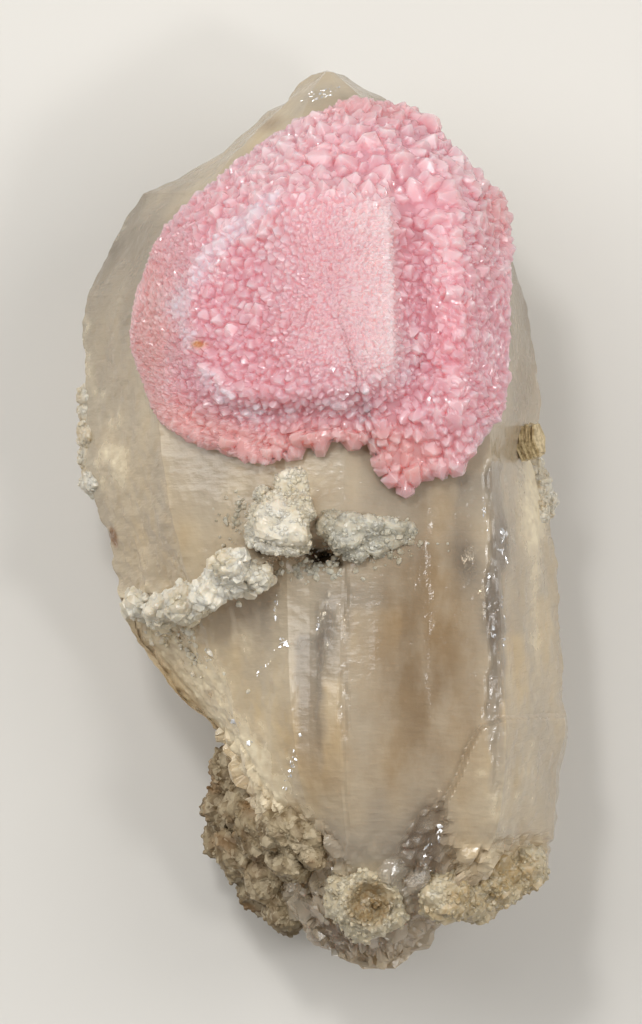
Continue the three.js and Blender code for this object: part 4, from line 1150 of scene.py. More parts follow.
CLEFT_ROWS = [
    [3, -1.5, -0.3, 1.9, 1.6, 1.6], [11, -2.5, 0, 2.1, 1.8, 1.8], [18, -1.5, 0, 1.7, 1.4, 1.5],
    [20, -5, 0, 1.8, 1.5, 1.3], [27, -2.5, -0.2, 2.0, 1.7, 1.3], [33, -2, -0.3, 1.4, 1.3, 1.0],
    [13, -7, 0, 1.5, 1.2, 1.3], [6, -4.5, 0.2, 1.3, 1.2, 1.6],
]
LEFT_EDGE_ROWS = [
    [-96, 28, -2.6, 1.5, 1.5, 2.1], [-96, 24, -3.4, 1.6, 1.7, 2.3], [-96, 19.5, -2.6, 1.6, 1.8, 2.4],
    [-96, 14.5, -3.4, 1.6, 1.8, 2.4], [-94, 9, -2.5, 1.9, 2.1, 2.7],
]
RIGHT_EDGE_ROWS = [
    [86, 11.5, -4, 1.6, 1.7, 2.4], [88, 9, -6, 1.7, 1.7, 2.6], [87, 6.5, -3.6, 1.8, 1.7, 2.5],
    [90, 4, -6, 1.8, 1.8, 2.8], [87, 1.5, -4, 1.7, 1.7, 2.6],
]
BASE_FELDSPAR_ROWS = [
    [50, -83, 0.6, 3.0, 2.8, 3.4], [60, -83, 0.3, 3.4, 2.8, 4.2], [70, -80, -0.2, 3.5, 3.1, 5.2],
    [79, -77, -1, 3.2, 2.9, 5.6],
]
ROCK_ROWS = [
    [-38, -57, -6, 2.5, 2.8, 3.8], [-38, -64, -9, 3.3, 3.4, 4.4], [-31, -64, -4, 3.2, 3.6, 4.2],
    [-37, -70, -12, 3.1, 3.6, 4.8], [-30, -74, -7, 3.7, 4.0, 4.8], [-25, -70, -2.0, 3.0, 3.4, 4.0],
    [-23, -81, -10, 3.5, 3.8, 5.0], [-20, -79, -4.0, 3.2, 3.6, 4.4], [-14, -86, -5, 3.0, 3.4, 4.6],
]
FOOT_CRUST_ROWS = [
    [-18, -69, 0.2, 2.6, 2.8, 3.2], [-14, -69, 0.4, 2.6, 2.8, 2.8], [-8, -70, 0.2, 2.3, 2.2, 2.2],
    [-13, -75, 0.2, 2.6, 2.8, 3.0], [-4, -73, 0, 1.9, 2.0, 1.8],
]


def lumps_of(rows, rough, square=2.0, twist=0.0):
    """One lump for each row, turned by up to twist radians about the upright."""
    made = []
    for x_percent, y_percent, over, *half_sizes in rows:
        angle = twist * rng.uniform(-1, 1)
        turn = np.array([[np.cos(angle), -np.sin(angle), 0], [np.sin(angle), np.cos(angle), 0], [0, 0, 1]])
        made.append(lump(over_front(x_percent, y_percent, over), np.array(half_sizes), rough, square, turn))
    return made


def sugary(name, node, lumps, count, sizes, loose=(), yellow_from=None, upward=MOSTLY_UP):
    """A piece of lumps with grains all over them, and loose grains round it. Above yellow_from, a y in
    mm, it turns towards the yellowish second colour of its finish."""
    points, faces = gathered([*lumps, grains_on(lumps, count, sizes, upward), *loose])
    made = piece(name, placed(points), faces, node)
    broad = uneven(points, 3.5, 3, seed=51)
    yellow = 0.4 * eased(points[:, 1], yellow_from, yellow_from + 1.6) if yellow_from else 0
    store(made, "patchy", np.clip(0.5 + 0.7 * broad + yellow, 0, 1))
    return made


# %% The feldspar and rock pieces
# The lumps at the two edges are seen from below too, so they have grains there as well
seam_block = sugary(
    "sugary_feldspar_block", "albite_block",
    [*lumps_of(BLOCK_ROWS, 0.16, 4.0, 0.5), *lumps_of(BEAD_ROWS, 0.06)], 1500, (0.3, 0.8), yellow_from=2.2,
)
seam_chain = sugary(
    "feldspar_chain", "albite_chain", lumps_of(CHAIN_ROWS, 0.26, 2.4, 0.8), 170, (0.8, 2.1),
    [sprinkled([(-9.5, -6.6, 5, 1.6, 0.35, 130), (-15.5, -9.4, 4, 1.8, 0.1, 90)], (0.3, 1.2))],
)
chain_end = sugary(
    "feldspar_chain_end", "albite_chain_2",
    lumps_of(CHAIN_END_ROWS, 0.24, 2.4, 0.4), 90, (0.7, 2.0),
    [sprinkled([(-19, -10.5, 4, 2.2, -0.2, 110), (-15, -14, 4, 1.6, -0.8, 60)], (0.3, 1.1))],
)
cleft_knobs = sugary(
    "feldspar_in_the_cleft", "cleft_feldspar",
    lumps_of(CLEFT_ROWS, 0.3, 2.4, 1.0), 420, (0.35, 1.0),
    [sprinkled([(4.5, -2.4, 7, 2.6, 0, 220), (-1, -5.5, 4, 1.6, 0, 90), (-9, 0, 3, 3, 0, 60)], (0.25, 0.95))],
)
left_edge = sugary(
    "feldspar_on_the_left_edge", "left_edge_albite",
    lumps_of(LEFT_EDGE_ROWS, 0.24), 300, (0.4, 1.0), upward=ALL_ROUND,
)
right_edge = sugary(
    "feldspar_on_the_right_edge", "right_edge_albite",
    lumps_of(RIGHT_EDGE_ROWS, 0.24), 420, (0.4, 1.1), upward=ALL_ROUND,
)
base_feldspar = sugary(
    "feldspar_at_the_foot", "base_feldspar",
    lumps_of(BASE_FELDSPAR_ROWS, 0.22, 2.6, 0.5), 900, (0.3, 0.9),
)
foot_rock = sugary(
    "stained_rock", "matrix_lump", lumps_of(ROCK_ROWS, 0.2, 2.2, 0.6), 2600, (0.2, 0.75),
)
foot_crust = sugary(
    "stained_knobs", "foot_crust", lumps_of(FOOT_CRUST_ROWS, 0.3, 2.2, 0.6), 620, (0.2, 0.8),
)


# %% [markdown]
# ## The round nodule and the mica
#
# The nodule at the foot is a ball of feldspar with a brown hollow in its middle. It is the same lump
# with its top pressed in: points near the middle of the top move down. The mica is a little book of
# thin six-sided leaves that split apart at their edges.


# %% The nodule
HOLLOW_OVER = 1.5


def hollowed(points, centre, wide, deep):
    """Points of a lump with a bowl pressed into its top: down by deep * exp(-d^4), d in half widths. Only
    what lies over the centre moves, all of it from HOLLOW_OVER mm."""
    away = np.hypot(points[:, 0] - centre[0], points[:, 1] - centre[1]) / wide
    down = deep * np.exp(-(away**4)) * eased(points[:, 2], centre[2], centre[2] + HOLLOW_OVER)
    return points - np.stack([0 * down, 0 * down, down], axis=-1)


nodule_centre = over_front(17, -83.5, -0.6)
hollow_centre = nodule_centre + [0.5, -0.5, 0]
nodule_body = lump(nodule_centre, np.array([4.5, 4.6, 3.8]), 0.2)
nodule_grains = grains_on([nodule_body], 900, (0.2, 0.9))
nodule_points, nodule_faces = gathered([nodule_body, nodule_grains])
nodule_points = hollowed(nodule_points, hollow_centre, 2.0, 2.4)
nodule = piece(
    "feldspar_nodule", placed(nodule_points), nodule_faces, "base_nodule",
)
from_middle = np.hypot(*(nodule_points - hollow_centre)[:, :2].T)
patchy = 1 - eased(from_middle + 0.9 * uneven(nodule_points, 2.2, 2, seed=52), 1.2, 3.8)
store(nodule, "patchy", patchy)


# %% The mica
LEAVES = 11
LEAF_COLUMNS = 24
MICA_CENTRE = np.array([across_mm(84.5), along_mm(17.4), 0.62 * DEPTH])
MICA_LEAN = np.radians([62, 12])
# In mm: a leaf's half sizes, how thick it is, from one leaf to the next, and how far they lie aside
LEAF_HALF = (1.7, 2.3)
LEAF_THICKNESS = 0.22
LEAF_STEP = 0.27
LEAF_ASIDE = 0.15
LEAF_UPPER = 0.97  # a leaf's upper side as a share of its lower one


def leaf(number):
    """A thin six-sided leaf: its radius is cos 30 degrees / cos of the angle from the nearest side's
    middle, made uneven, with a flat top and bottom."""
    turn = -np.arange(LEAF_COLUMNS) * 2 * np.pi / LEAF_COLUMNS
    side = (turn % (np.pi / 3)) - np.pi / 6
    wander = uneven(np.stack([np.cos(turn), np.sin(turn), 0 * turn + number], axis=-1), 0.5, 2, seed=61)
    radius = np.cos(np.pi / 6) / np.cos(side) * (1 + 0.08 * wander) * (1 - 0.03 * abs(number - 4))
    outline = np.stack([radius * np.cos(turn) * LEAF_HALF[0], radius * np.sin(turn) * LEAF_HALF[1]], axis=-1)
    outline = outline + LEAF_ASIDE * np.sin([2.3 * number, 1.9 * number + 1])
    level = (number - LEAVES / 2) * LEAF_STEP
    over = level + LEAF_THICKNESS
    upper = np.column_stack([outline * LEAF_UPPER, np.full(LEAF_COLUMNS, over)])
    lower = np.column_stack([outline, np.full(LEAF_COLUMNS, level)])
    points = np.concatenate([[[0, 0, over]], upper, lower, [[0, 0, level]]])
    return points, skin_faces(2, LEAF_COLUMNS)


def leant(points):
    """Points turned about Y, then about Z, and put at the book's place."""
    lean, twist = MICA_LEAN
    over = np.array([[np.cos(lean), 0, np.sin(lean)], [0, 1, 0], [-np.sin(lean), 0, np.cos(lean)]])
    round_z = np.array([[np.cos(twist), -np.sin(twist), 0], [np.sin(twist), np.cos(twist), 0], [0, 0, 1]])
    return points @ (round_z @ over).T + MICA_CENTRE


book_points, book_faces = gathered([leaf(number) for number in range(LEAVES)])
mica_book = piece("mica_book_leaves", placed(leant(book_points)), book_faces, "mica_book")

# %% [markdown]
# ## Veils inside the big crystal
#
# The crystal is crossed by veils, old cracks that healed and are full of tiny bubbles. A texture on
# the surface would not slide behind the faces as they do. So each veil is a swarm of small flat flakes
# along a curved sheet inside the crystal. A few open cracks come up to its front, where they shine like
# mirrors; they are made the same way, and lie in the front itself. Each flake is a closed, flat double
# pyramid of eight faces.

# %% Flakes along curved sheets
# Each row: middle x, y, z, half length and half height, all in mm, turn about Z and lean from upright in
# radians, how many flakes, and the largest one in mm
VEILS = [
    (9, -18, 34, 8, 6, 0.9, 0.9, 800, 0.5), (12, -30, 33, 6, 5, -0.5, 1.0, 500, 0.5),
    (4, -24, 29, 9, 7, 1.4, 0.7, 700, 0.6), (-14, 0, 31, 7, 5, 0.3, 1.1, 500, 0.5),
    (-18, 22, 26, 7, 8, 1.2, 0.8, 500, 0.6), (22, -12, 31, 2.0, 14, 1.5, 0.15, 800, 0.5),
    (21, -31, 33, 3.5, 7, 1.3, 0.5, 600, 0.6), (0, 45, 25, 5, 4, 0.4, 0.7, 350, 0.5),
    (1, -12, 35, 2.5, 4, 1.5, 0.2, 300, 0.4), (-5, -20, 31, 4, 5, 0.7, 0.6, 400, 0.5),
    (10, -40, 27, 5, 3.5, -0.6, 0.8, 450, 0.6), (15, -4, 36, 3, 5, 1.3, 0.4, 400, 0.5),
    (-8, -12, 31, 3.5, 3.0, 0.2, 0.7, 260, 0.4), (6, -34, 29, 4, 4, 1.0, 0.8, 350, 0.5),
]
# The same, but without a z: they lie in the front, nearly level
SHINING_CRACKS = [
    (16.0, -4.0, 1.1, 0.8, 1.2, 1.3, 40, 0.8), (17.4, -7.8, 0.8, 0.6, 0.9, 1.2, 30, 0.8),
    (18.2, -11, 2.2, 0.3, 1.9, 1.4, 60, 0.55), (20, -3.0, 2.2, 0.45, 1.6, 1.4, 70, 0.65),
    (19.8, -11, 3.2, 0.15, 1.6, 1.4, 50, 0.4), (18.0, -2, 6.0, 0.12, 1.65, 1.4, 60, 0.35),
    (11.9, -11.2, 0.9, 0.3, 1.75, 1.3, 24, 0.65), (-5.3, -10.2, 2.0, 0.15, 1.5, 1.4, 50, 0.45),
    (-4.9, -13.6, 0.9, 0.6, 0.3, 1.3, 40, 0.6), (-6.3, -15.8, 2.0, 0.25, 1.0, 1.4, 40, 0.45),
    (0.0, -10, 2.6, 0.25, 1.2, 1.4, 60, 0.5), (0.3, -15.5, 2.4, 0.15, 1.5, 1.4, 40, 0.4),
    (19.4, -35.3, 0.6, 0.6, 0.3, 1.3, 24, 0.7), (2.4, -11, 4.0, 0.12, 1.55, 1.4, 40, 0.35),
    (14.5, -27.5, 4.0, 0.3, 0.95, 1.4, 50, 0.45), (-9, -23.5, 1.6, 0.5, 2.2, 1.3, 40, 0.55),
    (11.5, -37.5, 4.0, 0.8, 1.2, 1.3, 60, 0.5), (5, -45, 2.6, 1.2, 0.5, 1.2, 70, 0.65),
    (-20.5, 28.4, 2.4, 0.6, 0.2, 1.2, 40, 0.5), (22, -28, 5.0, 0.25, 1.5, 1.4, 60, 0.45),
    (-3.5, -27, 3.5, 0.3, 1.3, 1.4, 50, 0.45), (-0.5, 47.4, 2.4, 0.6, 0.3, 1.2, 50, 0.5),
]
VEIL_DEPTH = 1.2  # mm under the front, at least
CRACK_DEPTH = -0.02  # just out of it
THINNED_BELOW = -0.25  # the uneven value under which a sheet has no flakes
FLAKE = np.array([[1, 0, 0], [0, 1, 0], [-1, 0, 0], [0, -1, 0], [0, 0, 0.06], [0, 0, -0.06]])
FLAKE_FACES = np.array([
    [0, 1, 4], [1, 2, 4], [2, 3, 4], [3, 0, 4], [1, 0, 5], [2, 1, 5], [3, 2, 5], [0, 3, 5],
])


def veil(depth, middle_x, middle_y, middle_z, half_long, half_high, turn, lean, count, largest):
    """Flakes over a curved sheet. At a, b from -1 to 1 the sheet's point is middle + along * a + up * b +
    out * bend, and bend is a quarter of the half length times a*a + 0.4 sin 3b. The flakes are thinned
    where an uneven value is low, and kept this deep under the front."""
    a, b = rng.uniform(-1, 1, (2, count))
    along = np.array([np.cos(turn), np.sin(turn), 0])
    out = np.array([-np.sin(turn) * np.cos(lean), np.cos(turn) * np.cos(lean), np.sin(lean)])
    up = np.cross(out, along)
    bend = 0.25 * half_long * (a * a + 0.4 * np.sin(3 * b))
    places = np.outer(a * half_long, along) + np.outer(b * half_high, up) + np.outer(bend, out)
    places = places + [middle_x, middle_y, middle_z]
    places[:, 2] = np.minimum(places[:, 2], front_height(places[:, 0], places[:, 1]) - depth)
    keep = (a * a + b * b < 1) & (uneven(places, 2.5, 2, seed=71) > THINNED_BELOW)
    places = places[keep]
    size = rng.uniform(0.25, 0.8, len(places)) ** 2 * largest
    tipped = np.stack([along, up, out], axis=-1) + 0.25 * rng.normal(size=(len(places), 3, 3))
    narrow = rng.uniform(0.2, 0.9, len(places))
    stretch = np.stack([np.ones(len(places)), narrow, np.ones(len(places))], axis=-1)
    flakes = FLAKE * stretch[:, None]
    points = np.einsum("nij,nkj->nki", tipped, flakes) * size[:, None, None] + places[:, None]
    faces = FLAKE_FACES[None] + len(FLAKE) * np.arange(len(places))[:, None, None]
    return points.reshape(-1, 3), [faces.reshape(-1, 3)]


veil_points, veil_faces = gathered([veil(VEIL_DEPTH, *row) for row in VEILS])
inner_veils = piece("healed_veils", placed(veil_points), veil_faces, None)
cracks = [veil(CRACK_DEPTH, x, y, DEPTH, *rest) for x, y, *rest in SHINING_CRACKS]
crack_points, crack_faces = gathered(cracks)
inner_cracks = piece("shining_cracks", placed(crack_points), crack_faces, None)


# %% [markdown]
# ## Materials
#
# Each finish starts from the mineral it is. Quartz has an index of refraction of 1.544 and natural,
# slightly etched faces. A few helpers add a node with its settings and links, so that a material reads
# as a list of what is done.


# %% Helpers for materials
def start_material(name):
    """A new material, its node tree, its Principled shader and the Object coordinates."""
    material = bpy.data.materials.new(name)
    material.use_nodes = True
    tree = material.node_tree
    shader = tree.nodes["Principled BSDF"]
    where = tree.nodes.new("ShaderNodeTexCoord").outputs["Object"]
    return material, tree, shader, where


def set_inputs(tree, node, inputs):
    """Sets each named input of a node to a value, or links it from a socket."""
    for name, value in inputs.items():
        if isinstance(value, bpy.types.NodeSocket):
            tree.links.new(value, node.inputs[name])
        else:
            node.inputs[name].default_value = value


def add(tree, kind, inputs=None, **settings):
    """Adds a node with its own settings and its inputs."""
    made = tree.nodes.new(kind)
    for name, value in settings.items():
        setattr(made, name, value)
    set_inputs(tree, made, inputs or {})
    return made


def stored(tree, name, output="Fac"):
    """The value that store() kept at the points."""
    return add(tree, "ShaderNodeAttribute", attribute_name=name).outputs[output]


def calculated(tree, operation, first, second):
    """The sum, difference, product or larger one of two values."""
    return add(tree, "ShaderNodeMath", {0: first, 1: second}, operation=operation).outputs[0]


def per_size(size_mm):
    """A texture's scale, in repeats per metre, for a pattern of this size in mm."""
    return 1 / (size_mm * MM)


def noise(tree, where, size_mm, detail, roughness=0.5):
    """Uneven values round 0.5 with patches of this size, and finer ones on them."""
    inputs = {"Vector": where, "Scale": per_size(size_mm), "Detail": detail, "Roughness": roughness}
    return add(tree, "ShaderNodeTexNoise", inputs).outputs["Fac"]


def stretched(tree, where, scale):
    """The coordinates times a scale for x, y and z. A scale below 1 draws a pattern out that way."""
    return add(tree, "ShaderNodeMapping", {"Vector": where, "Scale": scale}).outputs["Vector"]


def colour_mix(tree, share, first, second):
    """The colour between two, each a linear colour or a socket."""
    inputs = {0: share}
    for place, value in ((6, first), (7, second)):
        inputs[place] = value if isinstance(value, bpy.types.NodeSocket) else (*value, 1)
    return add(tree, "ShaderNodeMix", inputs, data_type="RGBA").outputs[2]


def spread(tree, value, low, high, to_low=0.0, to_high=1.0):
    """A value taken from the range low to high into another range, and held inside it."""
    inputs = {"Value": value, "From Min": low, "From Max": high, "To Min": to_low, "To Max": to_high}
    return add(tree, "ShaderNodeMapRange", inputs).outputs["Result"]


def bump(tree, height, distance_mm):
    """A bump from a value, so many mm high where it is 1."""
    inputs = {"Height": height, "Distance": distance_mm * MM, "Strength": 1.0}
    return add(tree, "ShaderNodeBump", inputs).outputs["Normal"]


# %% [markdown]
# ### Smoky quartz
#
# A natural crystal of pale smoky quartz: glassy faces with a fine etch, clear enough at its edges to see
# through, and cloudy in its mass. The smoke is absorption: light that goes through 40 mm of it turns
# brown, and thin edges stay pale. Transmission drops where the quartz is cloudy, and to nothing under
# the feldspar film.

# %% Smoky quartz finish
QUARTZ_IOR = 1.544
SMOKE = linear("#DABD8F")
SMOKE_DENSITY = 22.0  # per metre
CLOUD = linear("#DAC39C")
CLEAR_QUARTZ = linear("#EFE9DB")
VEILED = linear("#E6DAC2")
FILM = linear("#E8DABB")
TAN = linear("#987951")
RUST = linear("#9A6A38")
# The dark brown of the painted shade in the seam's pits
PAINTED_PIT_SHADE = linear("#3A2E20")


def quartz_colour(tree, where, cloudy, filmed, shaded_pits):
    """Clear quartz turns to its cloudy colour, then to tan, veiled, filmed and rusty ones, and to the dark
    brown of the painted shade in the pits, each by its share."""
    veils = noise(tree, stretched(tree, where, (1.0, 0.4, 1.0)), 3.5, 6.0, 0.6)
    colour = colour_mix(tree, cloudy, CLEAR_QUARTZ, CLOUD)
    for share, tint in (
        (spread(tree, stored(tree, "tan"), 0, 1, 0, 0.88), TAN),
        (spread(tree, veils, 0.42, 0.68, 0, 0.35), VEILED),
        (filmed, FILM),
        (stored(tree, "rust"), RUST),
        (shaded_pits, PAINTED_PIT_SHADE),
    ):
        colour = colour_mix(tree, share, colour, tint)
    return colour


def smoky_quartz_finish():
    """Its transmission is a share of how clear it is, times what film and painted pit shade leave bare."""
    material, tree, shader, where = start_material("smoky_quartz_natural_faces")
    etch = noise(tree, where, 0.9, 4.0)
    growth_lines = noise(tree, stretched(tree, where, (0.25, 1.0, 0.25)), 0.7, 3.0)
    cloudy = stored(tree, "cloudy")
    # Painted shade in the seam's pits: dark, and not see-through
    shaded_pits = stored(tree, "pit_shade_and_rock_dirt")
    mottled = spread(tree, etch, 0.35, 0.65, 0.45, 1.0)
    filmed = calculated(tree, "MULTIPLY", stored(tree, "film"), mottled)
    bare = calculated(tree, "SUBTRACT", 1.0, calculated(tree, "MAXIMUM", filmed, shaded_pits))
    clear = spread(tree, cloudy, 0, 1, 0.88, 0.28)
    set_inputs(tree, shader, {
        "Base Color": quartz_colour(tree, where, cloudy, filmed, shaded_pits),
        "Transmission Weight": calculated(tree, "MULTIPLY", clear, bare),
        "Roughness": spread(tree, filmed, 0, 1, 0.17, 0.55),
        "IOR": QUARTZ_IOR,
        "Normal": bump(tree, calculated(tree, "ADD", growth_lines, etch), 0.08),
    })
    smoke = add(tree, "ShaderNodeVolumeAbsorption", {"Color": (*SMOKE, 1), "Density": SMOKE_DENSITY})
    set_inputs(tree, tree.nodes["Material Output"], {"Volume": smoke.outputs["Volume"]})
    return material


smoky_crystal.data.materials.append(smoky_quartz_finish())

# %% [markdown]
# ### Rose quartz
#
# The same mineral, milky and pink all through. Light goes some millimetres into it and comes out
# again, so edges glow: that is subsurface scattering with a radius of 2 to 4 mm, the most in red.
# Its facets are glassy, and a share of clear transmission lets the tips show what is behind them.


# %% Rose quartz finish
def rose_quartz_finish():
    """The stored pinks, with light that spreads under the facets, and rougher where it is milky."""
    material, tree, shader, where = start_material("rose_quartz_druse_facets")
    set_inputs(tree, shader, {
        "Base Color": stored(tree, "pink", "Color"),
        "Subsurface Weight": 1.0,
        "Subsurface Radius": (1.0, 0.6, 0.55),
        "Subsurface Scale": 4.0 * MM,
        "IOR": QUARTZ_IOR,
        "Transmission Weight": 0.15,
        "Roughness": spread(tree, stored(tree, "milky"), 0, 1, 0.1, 0.4),
        "Normal": bump(tree, noise(tree, where, 0.35, 2.0), 0.03),
    })
    return material


rose_crust.data.materials.append(rose_quartz_finish())

# %% [markdown]
# ### Feldspar, stained rock, mica
#
# Albite is white to cream, translucent at thin edges and pearly where it cleaves. The rock is the same
# with clay and iron in it, so it is brown in its hollows. Mica leaves are golden brown with a strong
# gloss.

# %% Feldspar finish
FELDSPAR_IOR = 1.53
FELDSPAR_WHITE = linear("#D8D0BF")
FELDSPAR_CREAM = linear("#BFB195")
FELDSPAR_GREY = linear("#CCC4B0")
FELDSPAR_DIRTY = linear("#A0937A")
FELDSPAR_YELLOW = linear("#B6A384")
FELDSPAR_TAN = linear("#A58C62")
FELDSPAR_STAINED = linear("#8F7650")


def feldspar_finish(name, first, second, clearness=0.0):
    """A sugary feldspar that turns from the first colour to the second where it is patchy."""
    material, tree, shader, where = start_material(name)
    sugar = noise(tree, where, 0.5, 3.0)
    share = calculated(tree, "MULTIPLY", stored(tree, "patchy"), sugar)
    set_inputs(tree, shader, {
        "Base Color": colour_mix(tree, spread(tree, share, 0.12, 0.6), first, second),
        "Subsurface Weight": 0.4,
        "Subsurface Radius": (1.0, 0.8, 0.6),
        "Subsurface Scale": 0.8 * MM,
        "Transmission Weight": clearness,
        "IOR": FELDSPAR_IOR,
        "Roughness": spread(tree, sugar, 0.3, 0.7, 0.25, 0.5),
        "Normal": bump(tree, sugar, 0.06),
    })
    return material


white_albite = feldspar_finish("albite_sugary", FELDSPAR_WHITE, FELDSPAR_CREAM)
grey_albite = feldspar_finish("albite_translucent", FELDSPAR_GREY, FELDSPAR_DIRTY, 0.2)
edge_albite = feldspar_finish("albite_iron_stained", FELDSPAR_WHITE, FELDSPAR_YELLOW)
yellow_albite = feldspar_finish("albite_deeply_stained", FELDSPAR_CREAM, FELDSPAR_TAN)
nodule_albite = feldspar_finish("albite_nodule", FELDSPAR_CREAM, FELDSPAR_STAINED)
for made, finish in (
    (seam_block, white_albite), (seam_chain, white_albite), (chain_end, white_albite),
    (cleft_knobs, grey_albite), (left_edge, edge_albite), (right_edge, edge_albite),
    (base_feldspar, yellow_albite), (nodule, nodule_albite),
):
    made.data.materials.append(finish)

# %% Stained rock finish
ROCK_BROWN = linear("#6B583B")
ROCK_GREY = linear("#97876A")


def stained_rock_finish():
    """Brown and grey ground with pale grains in it, each a cell of a Voronoi pattern, and some rust."""
    material, tree, shader, where = start_material("granular_rock_with_clay")
    pit_shade_and_rock_dirt = noise(tree, where, 1.6, 5.0)
    speckle = add(tree, "ShaderNodeTexVoronoi", {"Vector": where, "Scale": per_size(0.9)}).outputs["Color"]
    pale_grains = add(tree, "ShaderNodeSeparateColor", {"Color": speckle}).outputs["Red"]
    colour = colour_mix(tree, spread(tree, pit_shade_and_rock_dirt, 0.38, 0.6), ROCK_BROWN, ROCK_GREY)
    colour = colour_mix(tree, spread(tree, pale_grains, 0.62, 0.8, 0, 0.5), colour, FELDSPAR_CREAM)
    colour = colour_mix(tree, spread(tree, stored(tree, "patchy"), 0.6, 1, 0, 0.25), colour, RUST)
    set_inputs(tree, shader, {
        "Base Color": colour,
        "Roughness": 0.62,
        "Normal": bump(tree, pit_shade_and_rock_dirt, 0.12),
    })
    return material


rock_material = stained_rock_finish()
foot_rock.data.materials.append(rock_material)
foot_crust.data.materials.append(rock_material)

# %% Mica finish
MICA_IOR = 1.58
MICA_GOLD = linear("#D0BC92")
MICA_DARK = linear("#A08A62")


def mica_finish():
    """Golden mica with darker parts and a strong gloss."""
    material, tree, shader, where = start_material("mica_cleaved_leaves")
    darker = noise(tree, where, 0.5, 3.0)
    set_inputs(tree, shader, {
        "Base Color": colour_mix(tree, spread(tree, darker, 0.4, 0.62), MICA_GOLD, MICA_DARK),
        "Roughness": 0.28,
        "IOR": MICA_IOR,
        "Normal": bump(tree, darker, 0.04),
    })
    return material


mica_book.data.materials.append(mica_finish())


# %% Finishes of the veils and cracks
def flake_finish(name, colour, rough, opacity, mirror=0.0):
    """Flakes of one colour, a fifth darker in patches. A mirror of 1 shines like metal."""
    material, tree, shader, where = start_material(name)
    shade = spread(tree, noise(tree, where, 1.2, 2.0), 0.35, 0.65)
    set_inputs(tree, shader, {
        "Base Color": colour_mix(tree, shade, colour, 0.8 * colour),
        "Roughness": rough,
        "Metallic": mirror,
        "Alpha": opacity,
    })
    return material


VEIL_CREAM = linear("#E4DACA")
MIRROR_WHITE = linear("#FFFFFF")
inner_veils.data.materials.append(flake_finish("healed_crack_bubbles", VEIL_CREAM, 0.5, 0.6))
inner_cracks.data.materials.append(flake_finish("open_crack_mirror", MIRROR_WHITE, 0.22, 1.0, 0.7))

# %% [markdown]
# ## Floor, light and camera
#
# The specimen lies on its back, so the camera looks straight down, from far off with a long lens as a
# specimen is photographed. The photograph's top is +Y. Under it is a pale floor. A broad soft light
# from the upper left, one from the right and a weak sky light all sides. Two small lamps give the
# facets their sparkle.

# %% Floor and sky
FLOOR_COLOUR = linear("#D2CFC9")
SKY_HIGH = linear("#F4F1EC")
SKY_LOW = linear("#8C8A88")
FLOOR_REACH = 1500.0  # mm to each side
FLOOR_UNDER = 0.02  # mm under the specimen


def pale_floor():
    """A square plain floor, just under the specimen."""
    sides = np.array([[-1, -1], [1, -1], [1, 1], [-1, 1]]) * FLOOR_REACH
    corners = np.column_stack([sides, np.full(4, -FLOOR_UNDER)])
    mesh = bpy.data.meshes.new("floor")
    mesh.from_pydata((corners * MM).tolist(), [], [(0, 1, 2, 3)])
    made = bpy.data.objects.new("floor", mesh)
    bpy.context.scene.collection.objects.link(made)
    material, tree, shader, _ = start_material("pale_paper")
    set_inputs(tree, shader, {"Base Color": (*FLOOR_COLOUR, 1), "Roughness": 0.9})
    mesh.materials.append(material)


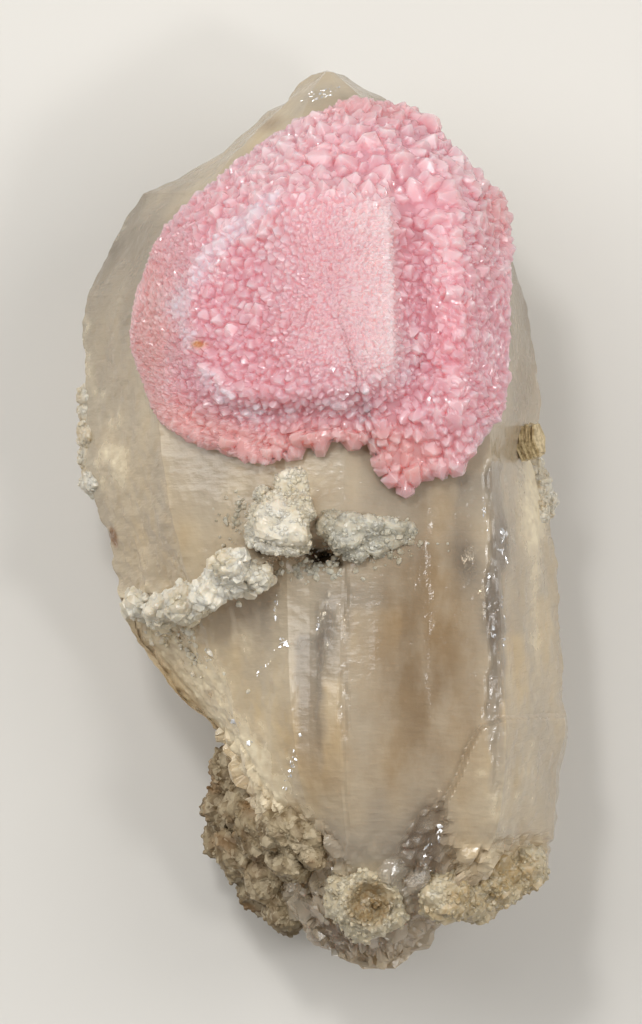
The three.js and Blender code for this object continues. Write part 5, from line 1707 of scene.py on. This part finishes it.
def studio_sky(strength):
    """A soft sky that is pale overhead and darker towards the horizon, which draws clear edges."""
    sky = bpy.data.worlds.new("studio")
    sky.use_nodes = True
    tree = sky.node_tree
    where = add(tree, "ShaderNodeTexCoord").outputs["Generated"]
    height = add(tree, "ShaderNodeSeparateXYZ", {"Vector": where}).outputs["Z"]
    colour = colour_mix(tree, spread(tree, height, 0.0, 0.7), SKY_LOW, SKY_HIGH)
    set_inputs(tree, tree.nodes["Background"], {"Color": colour, "Strength": strength})
    return sky


pale_floor()
scene = bpy.context.scene
scene.world = studio_sky(0.4)


# %% Lights
SPECIMEN_MIDDLE = Vector((0, 0, 0.02))  # m


def soft_light(name, place, size, power):
    """A square white light at a place in metres, so many metres wide and watts strong, that looks at
    the middle of the specimen."""
    data = bpy.data.lights.new(name, "AREA")
    data.size = size
    data.energy = power
    made = bpy.data.objects.new(name, data)
    made.location = place
    made.rotation_euler = (SPECIMEN_MIDDLE - Vector(place)).to_track_quat("-Z", "Y").to_euler()
    scene.collection.objects.link(made)


soft_light("key_light", (-0.35, 0.3, 0.5), 0.6, 2.9)
soft_light("fill_light", (0.45, 0.15, 0.5), 0.4, 1.7)
soft_light("sparkle_left", (-0.12, 0.28, 0.6), 0.08, 1.0)
soft_light("sparkle_right", (0.3, -0.1, 0.55), 0.08, 0.6)

# %% Camera
PHOTO_WIDTH = 642  # pixels
PHOTO_HEIGHT = 1024
MM_PER_PIXEL = 0.112
SPECIMEN_MIDDLE_PIXEL = (324, 520)  # where the photograph has the specimen's middle
CAMERA_HEIGHT = 1.5  # m over the specimen's outline
OUTLINE_HEIGHT = 0.019
FARTHEST_SEEN = 20  # m
SENSOR = 36.0  # mm, along the picture's longer side

camera_data = bpy.data.cameras.new("camera")
camera = bpy.data.objects.new("camera", camera_data)
scene.collection.objects.link(camera)
scene.camera = camera
camera_data.sensor_width = SENSOR
camera_data.lens = SENSOR * CAMERA_HEIGHT / (PHOTO_HEIGHT * MM_PER_PIXEL * MM)
camera_data.clip_end = FARTHEST_SEEN
camera.location = (
    ((PHOTO_WIDTH / 2 - SPECIMEN_MIDDLE_PIXEL[0]) * MM_PER_PIXEL + SIDEWAYS) * MM,
    (SPECIMEN_MIDDLE_PIXEL[1] - PHOTO_HEIGHT / 2) * MM_PER_PIXEL * MM,
    CAMERA_HEIGHT + OUTLINE_HEIGHT,
)
scene.view_settings.view_transform = "Standard"
print("lens in mm:", round(camera_data.lens, 1))
